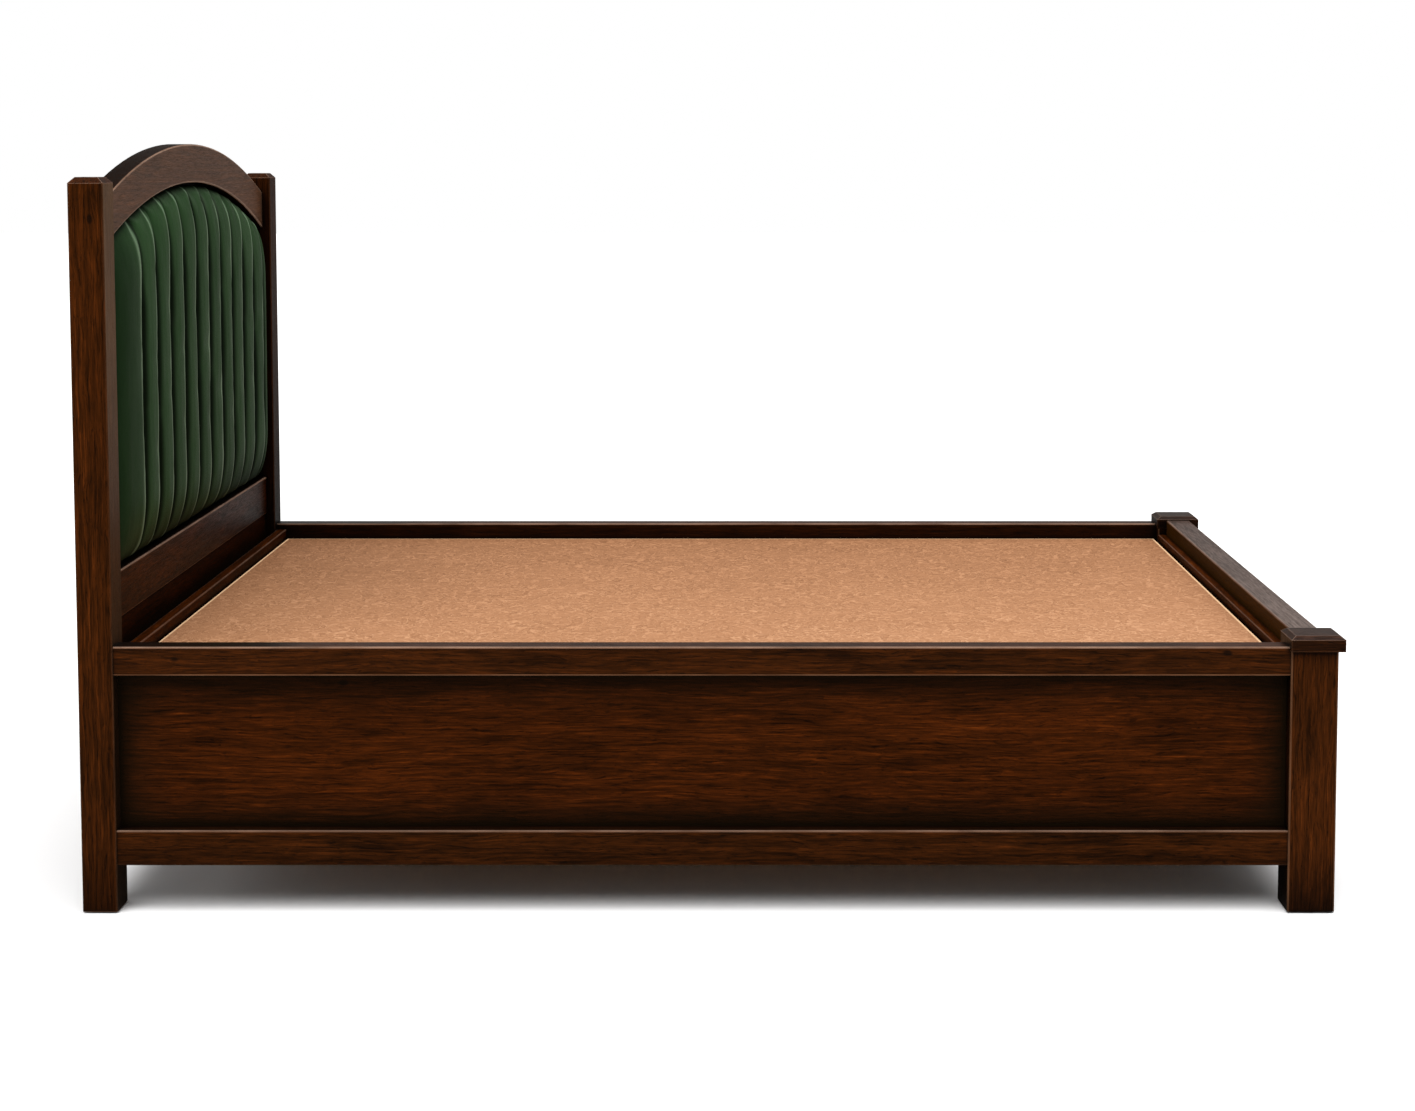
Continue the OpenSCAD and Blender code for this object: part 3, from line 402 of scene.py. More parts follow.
# ---------------------------------------------------------------- deck board
def deck_material(name, lo, hi):
    m, t, bsdf = material(name)
    pos = N(t, "TexCoord").outputs["Object"]
    sep = N(t, "SeparateXYZ", {0: pos}).outputs
    # fine wrinkled figure, drawn out along X, with swirls
    warp = VM(t, "SUBTRACT", noise(t, scaled(t, pos, (9.0, 13.0, 13.0)), 2.0).outputs["Color"], (0.5, 0.5, 0.5)).outputs[0]
    warp2 = VM(t, "SUBTRACT", noise(t, scaled(t, pos, (34.0, 48.0, 48.0)), 2.0).outputs["Color"], (0.5, 0.5, 0.5)).outputs[0]
    q = VM(t, "ADD", pos, VM(t, "ADD", scaled(t, warp, (0.020, 0.030, 0.0)), scaled(t, warp2, (0.010, 0.012, 0.0))).outputs[0]).outputs[0]
    wr = noise(t, scaled(t, q, (40.0, 31.0, 40.0)), 1.0, 0.5).outputs[0]
    ridge = M(t, "ABSOLUTE", M(t, "SUBTRACT", wr, 0.5))
    ridge = rng(t, ridge, 0.0, 0.042, 1.0, 0.0, smooth=True)
    wr2 = noise(t, scaled(t, VM(t, "ADD", q, (5.3, 2.1, 0.0)).outputs[0], (64.0, 45.0, 60.0)), 1.0, 0.5).outputs[0]
    ridge2 = rng(t, M(t, "ABSOLUTE", M(t, "SUBTRACT", wr2, 0.52)), 0.0, 0.046, 1.0, 0.0, smooth=True)
    lines = M(t, "MAXIMUM", ridge, M(t, "MULTIPLY", ridge2, 0.8))
    sides = M(t, "MAXIMUM", rng(t, M(t, "ABSOLUTE", M(t, "SUBTRACT", wr, 0.575)), 0.0, 0.036, 1.0, 0.0, smooth=True),
              rng(t, M(t, "ABSOLUTE", M(t, "SUBTRACT", wr2, 0.445)), 0.0, 0.038, 0.8, 0.0, smooth=True))
    patch = noise(t, scaled(t, pos, (10.0, 16.0, 16.0)), 2.0).outputs[0]
    lines = M(t, "MULTIPLY", M(t, "SUBTRACT", lines, M(t, "MULTIPLY", sides, 0.60)), rng(t, patch, 0.30, 0.60, 0.50, 1.0))
    fine = noise(t, scaled(t, q, (90.0, 420.0, 200.0)), 2.0, 0.6).outputs[0]
    cloud = noise(t, scaled(t, pos, (2.2, 5.0, 5.0)), 4.0, 0.55).outputs[0]
    f = M(t, "MULTIPLY_ADD", M(t, "SUBTRACT", fine, 0.5), 0.56, 0.430)
    f = M(t, "ADD", f, M(t, "MULTIPLY", M(t, "SUBTRACT", cloud, 0.5), 0.19))
    f = M(t, "ADD", f, M(t, "MULTIPLY", lines, 0.31))
    # painted shade: the board is darker towards the far side and towards the headboard
    f = M(t, "ADD", f, rng(t, sep[1], lo[1], hi[1], 0.10, -0.24))
    f = M(t, "ADD", f, rng(t, sep[0], lo[0], hi[0], -0.07, 0.01))
    col = ramp(t, f, [(0.0, (0.215, 0.096, 0.044)), (0.35, (0.365, 0.173, 0.084)), (0.6, (0.465, 0.232, 0.119)), (1.0, (0.67, 0.378, 0.215))], "LINEAR")
    # small dark specks
    vor = N(t, "TexVoronoi", {"Vector": scaled(t, pos, (8.0, 8.0, 8.0)), "Scale": 1.0, "Randomness": 1.0}, feature="F1")
    speck = rng(t, vor.outputs["Distance"], 0.012, 0.026, 1.0, 0.0)
    col = mix(t, M(t, "MULTIPLY", speck, 0.8), col, (0.10, 0.035, 0.015))
    # painted shade darkens the margin a little beside the frame; the cut edge is paler, and its arris carries a painted
    # highlight
    dx = M(t, "SUBTRACT", (hi[0] - lo[0]) / 2, M(t, "ABSOLUTE", M(t, "SUBTRACT", sep[0], (hi[0] + lo[0]) / 2)))
    dy = M(t, "SUBTRACT", (hi[1] - lo[1]) / 2, M(t, "ABSOLUTE", M(t, "SUBTRACT", sep[1], (hi[1] + lo[1]) / 2)))
    d = M(t, "MINIMUM", dx, dy)
    margin = rng(t, d, 0.0, 0.085, 1.0, 0.0, smooth=True)
    margin = M(t, "MULTIPLY", margin, rng(t, cloud, 0.3, 0.7, 0.6, 1.0))
    col = mix(t, M(t, "MULTIPLY", margin, 0.30), col, (0.20, 0.085, 0.038))
    edge = rng(t, d, 0.0030, 0.0046, 1.0, 0.0)
    col = mix(t, M(t, "MULTIPLY", edge, 0.9), col, (0.80, 0.52, 0.30))
    t.links.new(col, bsdf.inputs["Base Color"])
    t.links.new(M(t, "MULTIPLY_ADD", fine, 0.15, 0.55), bsdf.inputs["Roughness"])
    bsdf.inputs["IOR"].default_value = 1.10
    h = M(t, "ADD", M(t, "MULTIPLY", wr, 0.7), M(t, "MULTIPLY", fine, 0.30))
    h = M(t, "ADD", h, M(t, "MULTIPLY", lines, 0.60))
    bump = N(t, "Bump", {"Strength": 0.55, "Distance": 0.0022, "Height": h})
    t.links.new(bump.outputs[0], bsdf.inputs["Normal"])
    return m


# ---------------------------------------------------------------- metal, felt, leather
def metal_material(name, base=(0.55, 0.55, 0.57)):
    m, t, bsdf = material(name)
    pos = N(t, "TexCoord").outputs["Object"]
    n1 = noise(t, scaled(t, pos, (90.0, 90.0, 90.0)), 4.0, 0.6).outputs[0]
    n2 = noise(t, scaled(t, pos, (14.0, 14.0, 14.0)), 2.0).outputs[0]
    col = mix(t, n1, base, tuple(c * 0.72 for c in base))
    # painted shade: darker in the crevices
    ao = occlusion(t, 0.012, 1.2)
    col = mix(t, M(t, "SUBTRACT", 1.0, ao), col, (0.12, 0.11, 0.10))
    t.links.new(col, bsdf.inputs["Base Color"])
    bsdf.inputs["Metallic"].default_value = 1.0
    t.links.new(M(t, "ADD", M(t, "MULTIPLY_ADD", n1, 0.18, 0.24), M(t, "MULTIPLY", n2, 0.10)), bsdf.inputs["Roughness"])
    bump = N(t, "Bump", {"Strength": 0.15, "Distance": 0.0002, "Height": n1})
    t.links.new(bump.outputs[0], bsdf.inputs["Normal"])
    return m


def felt_material(name):
    m, t, bsdf = material(name)
    pos = N(t, "TexCoord").outputs["Object"]
    a = noise(t, scaled(t, pos, (700.0, 700.0, 1600.0)), 3.0, 0.7).outputs[0]
    b = noise(t, scaled(t, pos, (120.0, 120.0, 200.0)), 2.0).outputs[0]
    col = mix(t, M(t, "ADD", M(t, "MULTIPLY", a, 0.7), M(t, "MULTIPLY", b, 0.3)), (0.020, 0.018, 0.016), (0.090, 0.082, 0.075))
    t.links.new(col, bsdf.inputs["Base Color"])
    bsdf.inputs["Roughness"].default_value = 0.95
    bsdf.inputs["Sheen Weight"].default_value = 0.3
    bump = N(t, "Bump", {"Strength": 0.6, "Distance": 0.0006, "Height": a})
    t.links.new(bump.outputs[0], bsdf.inputs["Normal"])
    return m


def leather_material(name):
    m, t, bsdf = material(name)
    pos = N(t, "TexCoord").outputs["Object"]
    # hide figure: cloudy tone, long soft creases, a fine pebble
    cloud = noise(t, scaled(t, pos, (6.0, 6.0, 3.0)), 4.0, 0.55).outputs[0]
    warp = VM(t, "SUBTRACT", noise(t, scaled(t, pos, (40.0, 40.0, 40.0)), 2.0).outputs["Color"], (0.5, 0.5, 0.5)).outputs[0]
    q = VM(t, "ADD", pos, scaled(t, warp, (0.004, 0.004, 0.004))).outputs[0]
    peb = N(t, "TexVoronoi", {"Vector": scaled(t, q, (620.0, 620.0, 560.0)), "Scale": 1.0, "Randomness": 1.0}, feature="DISTANCE_TO_EDGE").outputs["Distance"]
    peb = rng(t, peb, 0.0, 0.28)
    creases = noise(t, scaled(t, q, (24.0, 120.0, 16.0)), 3.0, 0.6).outputs[0]
    hair = noise(t, scaled(t, q, (260.0, 340.0, 90.0)), 2.0, 0.6).outputs[0]
    f = M(t, "MULTIPLY_ADD", M(t, "SUBTRACT", cloud, 0.5), 0.9, 0.5)
    f = M(t, "ADD", f, M(t, "MULTIPLY", M(t, "SUBTRACT", creases, 0.5), 0.35))
    f = M(t, "ADD", f, M(t, "MULTIPLY", M(t, "SUBTRACT", hair, 0.5), 0.22))
    col = ramp(t, f, [(0.15, (0.0122, 0.0355, 0.0105)), (0.5, (0.0208, 0.0535, 0.0175)), (0.85, (0.0320, 0.0720, 0.0265))], "LINEAR")
    # painted shade darkens the seam valleys, a painted highlight lightens the crests
    cre = N(t, "Attribute", attribute_name="painted_seam_shade").outputs["Fac"]
    top = N(t, "Attribute", attribute_name="crest").outputs["Fac"]
    col = mix(t, M(t, "MULTIPLY", cre, 0.96), col, (0.0008, 0.0026, 0.0007))
    # painted shade in the hollows of the hide
    ao = occlusion(t, 0.028, 2.0)
    col = mix(t, M(t, "SUBTRACT", 1.0, ao), col, (0.0012, 0.0036, 0.0012))
    rub_and_highlight = M(t, "MULTIPLY", top, rng(t, cloud, 0.30, 0.60, 0.60, 0.98))
    col = mix(t, rub_and_highlight, col, (0.1500, 0.2300, 0.1380))
    t.links.new(col, bsdf.inputs["Base Color"])
    rough = M(t, "MULTIPLY_ADD", M(t, "SUBTRACT", 1.0, peb), 0.12, 0.36)
    rough = M(t, "ADD", rough, M(t, "MULTIPLY", cre, 0.25))
    t.links.new(rough, bsdf.inputs["Roughness"])
    bsdf.inputs["IOR"].default_value = 1.07
    gloss = M(t, "MULTIPLY", M(t, "SUBTRACT", 1.0, cre, clamp=True), M(t, "MULTIPLY_ADD", creases, 0.10, 0.02))
    t.links.new(M(t, "ADD", gloss, M(t, "MULTIPLY", top, 0.22)), bsdf.inputs["Coat Weight"])
    bsdf.inputs["Coat IOR"].default_value = 1.30
    bsdf.inputs["Coat Roughness"].default_value = 0.28
    h = M(t, "ADD", M(t, "MULTIPLY", peb, 0.20), M(t, "MULTIPLY", creases, 1.3))
    h = M(t, "ADD", h, M(t, "MULTIPLY", hair, 0.30))
    bump = N(t, "Bump", {"Strength": 0.30, "Distance": 0.0012, "Height": h})
    t.links.new(bump.outputs[0], bsdf.inputs["Normal"])
    return m


# ---------------------------------------------------------------- the channelled leather pad
PAD_Y = 0.680
PAD_ZB = 0.574
ARC_Z, ARC_R = -1.0304, 2.2654
# the border and the eleven seams across the pad, and how deep each seam is drawn
SEAMS = np.array([-0.680] + [-0.490 + 0.109 * j for j in range(11)] + [0.680])
CHANNELS = len(SEAMS) - 1
CH_W = 0.109
VALLEY = np.array([0.0] + [1.0] * 10 + [0.85, 0.0])
X_REAR, X_RIM, X_SEAM, ROLL = -1.0662, -1.0535, -1.0235, 0.0088
# every fold is as wide as the next, whatever the width of its channel
PEAKS = 1.0 - 0.0150 / np.diff(SEAMS)


def z_top(y):
    return ARC_Z + np.sqrt(ARC_R ** 2 - y ** 2)


def rounded(d, r, p=2.2):
    k = 1.0 - np.clip(d / r, 0.0, 1.0)
    return (1.0 - k ** p) ** (1.0 / p)


def hills(y, z, fy, fz, ph):
    return np.sin(y * fy + ph) * np.cos(z * fz + 1.7 * ph) + 0.5 * np.sin(y * fy * 2.3 + z * fz * 0.7 + ph * 3.1)


def pad_front(y, z):
    """Depth of the leather's front at (y, z), with its painted seam shade and painted crest highlight."""
    zt = z_top(y)
    # the seams wander by a millimetre or two
    wob = 0.0012 * np.sin(z * 9.0 + y * 21.0) + 0.0008 * np.sin(z * 23.0 + y * 47.0)
    c = np.interp(y + wob, SEAMS, np.arange(CHANNELS + 1.0))
    k = np.clip(np.floor(c), 0, CHANNELS - 1).astype(int)
    u = np.clip(c - k, 0.0, 1.0)
    PEAK = PEAKS[k]
    # each pleat rises slowly from its near seam and folds down steeply into the next one
    near = np.where(u < PEAK, k, k + 1)
    depth = VALLEY[near]
    a = np.where(u < PEAK, (PEAK - u) / PEAK, (u - PEAK) / (1.0 - PEAK))
    roll = np.where(u < PEAK, (1.0 - a ** 2.1) ** 0.80, (1.0 - a ** 2.6) ** 0.52)
    shape = 1.0 - (1.0 - roll) * depth
    d_side = PAD_Y - np.abs(y)
    d_bot, d_top = z - PAD_ZB, zt - z
    crown = rounded(d_side, 0.080) * rounded(d_bot, 0.115, 2.0) * rounded(d_top, 0.105, 2.0)
    # the pad is fullest in the middle
    full = 1.0 + 0.05 * np.cos(np.clip(y / PAD_Y, -1, 1) * math.pi / 2)
    x = X_RIM + crown * (X_SEAM - X_RIM) + crown ** 0.65 * ROLL * shape * full
    # each seam pulls the hide into small fans where it is tucked under the arch and behind the mid rail
    fan = np.zeros_like(x)
    for j in range(1, CHANNELS):
        if VALLEY[j] < 0.3:
            continue
        yj = SEAMS[j]
        for zj, sgn, amp, ln in ((z_top(yj) + 0.004, -1.0, 0.0030, 0.060), (PAD_ZB - 0.004, 1.0, 0.0015, 0.045)):
            dy, dz = y - yj, (z - zj) * sgn
            rr = np.sqrt(dy ** 2 + dz ** 2)
            th = np.arctan2(dy, np.maximum(dz, 1e-6))
            w = np.exp(-((rr - 0.022) / ln) ** 2) * np.clip(rr / 0.018, 0, 1)
            lean = np.exp(-np.abs(dy) / (CH_W * 0.38))
            fan += amp * VALLEY[j] * w * lean * np.cos(th * 5.0 + 0.9 * j + sgn)
    x = x + fan * np.clip(crown * 1.6, 0.15, 1.0)
    x = x + 0.00045 * hills(y, z, 31.0, 12.0, 0.7) + 0.00025 * hills(y, z, 90.0, 37.0, 2.1)
    # the painted seam shade and crest highlight are narrower under the arch
    lie = 0.42 + 0.58 * np.clip(d_top / 0.17, 0, 1)
    # painted shade: each seam is darkened, most on the side that rises from it
    painted_seam_shade = np.where(u < PEAK, np.clip((0.33 * lie - u) / (0.15 * lie), 0, 1) ** 0.8 * 0.66 + np.clip((0.66 * lie - u) / (0.52 * lie), 0, 1) ** 1.4 * 0.34, np.clip((u - 0.93) / 0.03, 0, 1)) * depth
    # painted highlight: a pale line along each fold's crest
    crest = np.exp(-((u - PEAK + 0.006) / (0.026 + 0.016 * np.clip(d_top / 0.12, 0, 1))) ** 2) * np.clip(crown * 2.5, 0, 1) * VALLEY[k + 1]
    # painted shade: each fold ends under the arch in a small dark tuck beside its pointed tip
    tuck = np.clip(1 - u / 0.30, 0, 1) ** 0.7 * np.clip(1 - d_top / 0.032, 0, 1) ** 0.7 * VALLEY[k]
    painted_seam_shade = np.maximum(painted_seam_shade, 0.85 * tuck)
    # painted shade and painted highlight: the small pulls under the arch read as dark and pale hairlines
    pull = np.clip(fan / 0.0034, -1, 1)
    painted_seam_shade = np.maximum(painted_seam_shade, 0.32 * np.clip(-pull * 1.4, 0, 1))
    crest = np.maximum(crest, 0.30 * np.clip(pull * 1.4 - 0.3, 0, 1))
    # painted shade: the hide is darkened where it goes in behind the posts, the arch and the mid rail
    rim = np.maximum(np.clip(1 - (y + PAD_Y) / 0.215, 0, 1) ** 1.0 * 0.84, np.clip(1 - d_top / 0.016, 0, 1) ** 1.3 * 0.9)
    rim = np.maximum(rim, np.clip(1 - d_bot / 0.10, 0, 1) ** 1.2 * 0.80)
    rim = np.maximum(rim, np.clip(1 - (PAD_Y - y) / 0.050, 0, 1) ** 1.5 * 0.7)
    painted_seam_shade = np.maximum(painted_seam_shade, rim)
    crest = crest * (1.0 - 0.7 * rim)
    return x, painted_seam_shade, crest


def columns(per):
    """Column positions across the pad; they crowd together at each fold and seam."""
    grid, out = np.linspace(0.0, 1.0, 2001), []
    for i in range(CHANNELS):
        want = 1.0 + 5.0 * np.exp(-((grid - PEAKS[i]) / 0.05) ** 2) + 6.0 * np.exp(-((grid - 1.0) / 0.05) ** 2) + 3.0 * np.exp(-(grid / 0.05) ** 2)
        acc = np.concatenate([[0.0], np.cumsum((want[1:] + want[:-1]) / 2)])
        base = np.interp(np.linspace(0.0, 1.0, per + 1), acc / acc[-1], grid)
        out.append(SEAMS[i] + (SEAMS[i + 1] - SEAMS[i]) * base[:-1])
    return np.concatenate(out + [[PAD_Y]])


def levels(rows):
    tt = np.linspace(0.0, 1.0, rows + 1)
    return 0.55 * (1.0 - np.cos(tt * math.pi)) / 2.0 + 0.45 * tt


def stuff_cover(per=8, rows=70, frames=16):
    """Blender's cloth solver presses the hide out between its seams; returns how far each point moved."""
    ys, tt = columns(per), levels(rows)
    Y = np.repeat(ys[None, :], rows + 1, 0)
    Z = PAD_ZB + tt[:, None] * (z_top(Y) - PAD_ZB)
    P = np.stack([pad_front(Y, Z)[0], Y, Z], -1)
    nr, nc = Y.shape
    me = bpy.data.meshes.new("cover_sim")
    me.from_pydata(P.reshape(-1, 3).tolist(), [], [(r * nc + c, r * nc + c + 1, (r + 1) * nc + c + 1, (r + 1) * nc + c) for r in range(nr - 1) for c in range(nc - 1)])
    ob = bpy.data.objects.new("cover_sim", me)
    scene.collection.objects.link(ob)
    # the border and the seams are sewn down
    pin = np.zeros((nr, nc), bool)
    pin[0, :] = pin[-1, :] = pin[:, 0] = pin[:, -1] = True
    for j in range(1, CHANNELS):
        if VALLEY[j] > 0.3:
            pin[:, j * per] = True
    grp = ob.vertex_groups.new(name="sewn")
    grp.add([int(i) for i in np.nonzero(pin.reshape(-1))[0]], 1.0, "REPLACE")
    mod = ob.modifiers.new("hide", "CLOTH")
    st = mod.settings
    st.quality, st.mass = 6, 0.25
    st.tension_stiffness = st.compression_stiffness = 20.0
    st.shear_stiffness, st.bending_stiffness = 7.0, 4.0
    st.tension_damping = st.compression_damping = 15.0
    st.shear_damping, st.bending_damping, st.air_damping = 10.0, 1.0, 3.0
    st.use_pressure, st.uniform_pressure_force = True, 1.0
    st.shrink_min = -0.0022
    st.vertex_group_mass, st.pin_stiffness = "sewn", 1.0
    st.effector_weights.gravity = 0.0
    mod.collision_settings.use_collision = False
    mod.point_cache.frame_start, mod.point_cache.frame_end = 1, frames
    for fr in range(1, frames + 1):
        scene.frame_set(fr)
    ev = ob.evaluated_get(bpy.context.evaluated_depsgraph_get())
    q = np.empty(len(me.vertices) * 3)
    ev.data.vertices.foreach_get("co", q)
    move = q.reshape(nr, nc, 3) - P
    bpy.data.objects.remove(ob)
    bpy.data.meshes.remove(me)
    scene.frame_set(1)
    # no point travels more than a few millimetres
    size = np.linalg.norm(move, axis=-1, keepdims=True)
    move = move * (np.tanh(size / 0.0036) * 0.0036 / np.maximum(size, 1e-9))
    return ys, tt, move


def spread(ys0, tt0, move, ys, tt):
    """Carries the simulated movement over to a finer set of columns and rows."""
    out = np.empty((len(tt), len(ys), 3))
    for i in range(3):
        cols = np.stack([np.interp(ys, ys0, row) for row in move[..., i]])
        out[..., i] = np.stack([np.interp(tt, tt0, cols[:, c]) for c in range(len(ys))], 1)
    for _ in range(2):
        out[1:-1] = 0.25 * out[:-2] + 0.5 * out[1:-1] + 0.25 * out[2:]
    return out


def build_pad():
    ys, tt = columns(30), levels(140)
    rows = len(tt) - 1
    Y = np.repeat(ys[None, :], rows + 1, 0)
    Z = PAD_ZB + tt[:, None] * (z_top(Y) - PAD_ZB)
    X, painted_seam_shade, crest = pad_front(Y, Z)
    nr, nc = X.shape
    front = (np.stack([X, Y, Z], -1) + spread(*stuff_cover(), ys, tt)).reshape(-1, 3)
    # the rim turns back round the board: boundary loop, then its copy on the rear plane
    loop = [c for c in range(nc)] + [r * nc + nc - 1 for r in range(1, nr)]
    loop += [(nr - 1) * nc + c for c in range(nc - 2, -1, -1)] + [r * nc for r in range(nr - 2, 0, -1)]
    rear = front[loop].copy()
    rear[:, 0] = X_REAR
    verts = np.concatenate([front, rear])
    f = []
    for r in range(nr - 1):
        for c in range(nc - 1):
            i = r * nc + c
            f.append((i, i + 1, i + nc + 1, i + nc))
    n0, L = len(front), len(loop)
    for i in range(L):
        j = (i + 1) % L
        f.append((loop[i], n0 + i, n0 + j, loop[j]))
    f.append(tuple(n0 + i for i in range(L - 1, -1, -1)))
    me = bpy.data.meshes.new("headboard_pad")
    me.from_pydata(verts.tolist(), [], f)
    me.update()
    smooth = np.ones(len(me.polygons), bool)
    smooth[-1] = False
    me.polygons.foreach_set("use_smooth", smooth)
    pad0 = np.zeros(L)
    for nm, val in (("painted_seam_shade", painted_seam_shade), ("crest", crest)):
        att = me.attributes.new(nm, "FLOAT", "POINT")
        att.data.foreach_set("value", np.concatenate([val.reshape(-1), pad0]).astype(np.float32))
    ob = bpy.data.objects.new("headboard_pad", me)
    scene.collection.objects.link(ob)
    return ob


pad = build_pad()
pad.data.materials.append(leather_material("leather_green_pad"))
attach(pad, "frame")
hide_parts("pad_leather", "pad_foam")

# ---------------------------------------------------------------- materials on the CAD nodes
AXIS = {
    "head_post_left": "Z", "head_post_right": "Z", "foot_post_left": "Z", "foot_post_right": "Z",
    "crest_rail": "Y", "head_mid_rail": "Y", "head_bottom_rail": "Y", "head_lower_panel": "Y", "head_batten": "Y",
    "headboard_back_panel": "Y", "foot_top_rail": "Y", "foot_panel": "Y", "foot_bottom_rail": "Y", "foot_batten": "Y",
    "foot_cap_left": "X", "foot_cap_right": "X",
    "side_top_rail_left": "X", "side_top_rail_right": "X", "side_panel_left": "X", "side_panel_right": "X",
    "side_bottom_rail_left": "X", "side_bottom_rail_right": "X", "bolt_plugs": "Z",
}
PANELS = {"head_lower_panel", "headboard_back_panel", "foot_panel", "side_panel_left", "side_panel_right"}
EDGES = {"head_post_left": "bevel", "head_post_right": "bevel", "foot_cap_left": "bevel", "foot_cap_right": "bevel", "crest_rail": "arch"}
# the far head post is toned darker than the near one: painted shade
TONE = {"side_bottom_rail_left": -0.05, "side_bottom_rail_right": -0.05, "side_top_rail_left": -0.02, "side_panel_left": 0.005, "side_panel_right": 0.005,
        "head_post_left": -0.015, "head_post_right": -0.06, "foot_post_left": 0.02, "foot_post_right": 0.02, "foot_cap_left": -0.16, "foot_cap_right": -0.14,
        "crest_rail": 0.245, "head_mid_rail": -0.04, "head_batten": 0.12, "foot_batten": 0.19, "head_lower_panel": 0.06}
UNDER = {"side_top_rail_left": 0.8, "side_top_rail_right": 0.8, "head_mid_rail": 0.9, "crest_rail": 0.8}
CORNER = {"head_post_left": 1.1, "foot_batten": 0.8, "head_batten": 1.2, "foot_top_rail": 1.5}
SHADE = {"head_post_left": (0.45, 0.85, 0.65, 1.0), "head_post_right": (0.45, 1.15, 0.75, 1.0), "head_lower_panel": (0.30, 0.56, 0.90, 0.10)}
RUB_AND_HIGHLIGHT = {"side_bottom_rail_left": 0.65, "side_bottom_rail_right": 0.65, "head_batten": 0.30, "foot_batten": 0.30, "foot_cap_left": 0.85, "foot_cap_right": 0.85, "foot_top_rail": 0.6}
TINT = {"crest_rail": (1.0, 1.20, 1.35), "head_batten": (1.0, 0.9, 0.6), "foot_batten": (1.0, 0.9, 0.6), "head_mid_rail": (1.0, 0.9, 0.6),
        "foot_top_rail": (1.0, 0.95, 0.7)}
IOR = {"side_panel_left": 1.075, "side_panel_right": 1.075, "side_bottom_rail_left": 1.08, "side_bottom_rail_right": 1.08, "head_mid_rail": 1.05, "head_lower_panel": 1.03, "head_batten": 1.03, "side_top_rail_left": 1.09, "side_top_rail_right": 1.09, "crest_rail": 1.05, "head_post_left": 1.07, "head_post_right": 1.06,
       "foot_top_rail": 1.04, "foot_batten": 1.03, "foot_post_left": 1.08, "foot_post_right": 1.08}
TOP_SHEEN = {"foot_top_rail": 0.72}
POLISH = {"side_top_rail_left": 0.62, "side_top_rail_right": 0.62, "crest_rail": 0.0, "foot_top_rail": 1.0, "foot_batten": 0.12, "head_batten": 0.05}
FRONT = {"crest_rail": (0.52, 0.52), "head_mid_rail": (0.10, 0.72), "head_post_left": (0.14, 0.14), "head_post_right": (0.15, 0.15)}
CALM = {"crest_rail": 0.9}
FACE_LIGHT = {"head_post_left": (0.55, 1.00, 0.10, 0.74, (0.112, 0.062, 0.030), 1.0), "crest_rail": (0.0, 0.1, 0.38, 0.38, (0.088, 0.060, 0.042), 1.0),
        "foot_top_rail": (0.0, 0.1, 0.5, 0.5, (0.080, 0.032, 0.0040), -1.0)}
POST_REFLECTION = {"side_top_rail_left": (-0.76, -0.66), "side_top_rail_right": (-0.76, -0.66)}
rail_top, rail_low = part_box("side_top_rail_left"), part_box("side_bottom_rail_left")
hp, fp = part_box("head_post_left"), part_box("foot_post_left")
SIDE_PANEL_SHADE = ((hp[1][0], 0, rail_low[1][2]), (fp[0][0], 0, rail_top[0][2]), ((0.095, 0.075), None, (0.055, 0.080)))
PANEL_SHADE = {"side_panel_left": SIDE_PANEL_SHADE, "side_panel_right": SIDE_PANEL_SHADE}


def dress(node, mat):
    o = nodes_of[node]
    o.data.materials.clear()
    o.data.materials.append(mat)


slot_of = {s["node"]: s.get("material_slot") for s in frame["record"].get("subparts", [])}
metal = metal_material("zinc_steel")
for node in sorted(nodes_of):
    if node in ("pad_leather", "pad_foam"):
        continue
    slot = slot_of.get(node)
    if node in AXIS:
        dress(node, dark_wood("dark_" + node, AXIS[node], figure=0.55 if node in PANELS else 1.0, tone=TONE.get(node, 0.0),
                              streak=1.2 if node in PANELS else 1.0, edges=EDGES.get(node, "bar"), band=PANEL_SHADE.get(node), under=UNDER.get(node, 0.15), corner=CORNER.get(node, 2.2), front=FRONT.get(node), tint=TINT.get(node, (1.0, 0.86, 0.60) if node in PANELS else None), shade=SHADE.get(node), ior=IOR.get(node, 1.11), polish=POLISH.get(node, 0.75), top_sheen=TOP_SHEEN.get(node, 0.0), rub_and_highlight=RUB_AND_HIGHLIGHT.get(node, 1.0),
                              calm=CALM.get(node, 1.0), face_light=FACE_LIGHT.get(node), post_reflection=POST_REFLECTION.get(node)))
    elif slot == "pine_raw":
        ax = "Z" if "leg" in node else ("Y" if node.startswith("bearer") or "cleat" in node else "X")
        dress(node, pale_wood("pine_" + node, ax, shaded_top=node == "head_cleat"))
    elif slot == "plywood":
        dress(node, pale_wood("ply_" + node, "Z", light=(0.60, 0.42, 0.25), dark=(0.46, 0.29, 0.15), knots=False, ply=("X", 0.003)))
    elif slot == "beech":
        dress(node, pale_wood("beech_" + node, "X", light=(0.66, 0.46, 0.29), dark=(0.50, 0.31, 0.17), knots=False))
    elif slot == "deck_board":
        dress(node, deck_material("tan_deck", *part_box(node)))
    elif slot == "zinc_steel":
        dress(node, metal)
    elif slot == "felt":
        dress(node, felt_material("felt_glide"))
    else:
        raise RuntimeError(f"no material for {node} ({slot})")


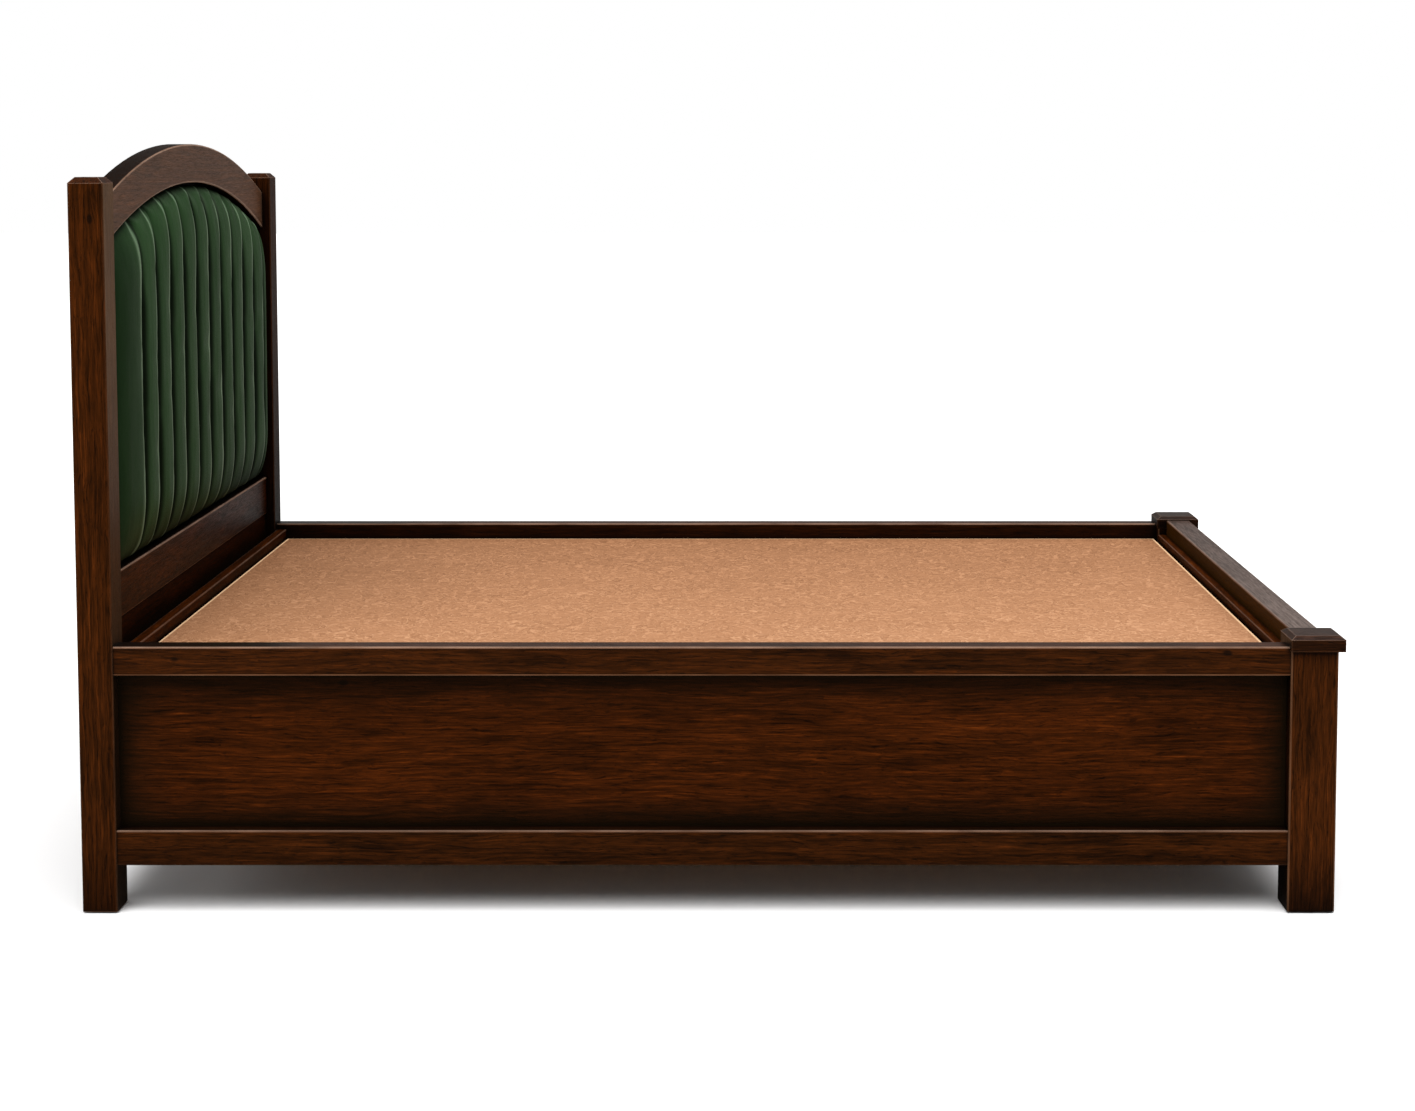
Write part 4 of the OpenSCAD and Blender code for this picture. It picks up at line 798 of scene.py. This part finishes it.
# ---------------------------------------------------------------- floor, light
def floor_material():
    m, t, bsdf = material("studio_floor")
    pos = N(t, "TexCoord").outputs["Object"]
    n = noise(t, scaled(t, pos, (0.6, 0.6, 0.6)), 3.0).outputs[0]
    pale = mix(t, n, (0.90, 0.895, 0.89), (0.93, 0.925, 0.925))
    # lacquer and leather mirror the floor as a mid grey
    lp = N(t, "LightPath")
    t.links.new(mix(t, lp.outputs["Is Glossy Ray"], pale, (0.26, 0.25, 0.24)), bsdf.inputs["Base Color"])
    bsdf.inputs["Roughness"].default_value = 0.9
    bsdf.inputs["IOR"].default_value = 1.05
    return m


fm = bpy.data.meshes.new("studio_floor")
S = 40.0
fm.from_pydata([(-S, -S, 0), (S, -S, 0), (S, S, 0), (-S, S, 0)], [], [(0, 1, 2, 3)])
floor = bpy.data.objects.new("studio_floor", fm)
floor.location = (0, 0, -0.0005)
scene.collection.objects.link(floor)
floor.data.materials.append(floor_material())

world = bpy.data.worlds.new("studio_world")
world.use_nodes = True
wt = world.node_tree
wt.nodes.clear()
wout = wt.nodes.new("ShaderNodeOutputWorld")
# the studio's walls give an even soft light, and mirror as a dim grey in the lacquer
bg_light = N(wt, "Background", {"Color": (0.98, 0.99, 1.0, 1.0), "Strength": 0.36})
bg_gloss = N(wt, "Background", {"Color": (1.0, 0.97, 0.94, 1.0), "Strength": 0.34})
bg_seen = N(wt, "Background", {"Color": (1.0, 1.0, 1.0, 1.0), "Strength": 1.0})
lp = N(wt, "LightPath")
wg = N(wt, "MixShader", {0: lp.outputs["Is Glossy Ray"], 1: bg_light.outputs[0], 2: bg_gloss.outputs[0]})
ws = N(wt, "MixShader", {0: lp.outputs["Is Camera Ray"], 1: wg.outputs[0], 2: bg_seen.outputs[0]})
wt.links.new(ws.outputs[0], wout.inputs[0])
scene.world = world


def soft_sun(name, toward, strength, angle):
    """A very large soft light, far away, so that the floor is lit evenly."""
    d = bpy.data.lights.new(name, "SUN")
    d.energy, d.angle = strength, math.radians(angle)
    o = bpy.data.objects.new(name, d)
    o.rotation_euler = Vector(toward).to_track_quat("Z", "Y").to_euler()
    scene.collection.objects.link(o)
    return o


soft_sun("key_front_left", (-0.20, -0.60, 1.0), 2.8, 50.0)
soft_sun("fill_right", (0.45, 0.0, 1.0), 1.7, 50.0)
soft_sun("low_left", (-1.0, 0.0, 0.27), 0.8, 18.0)
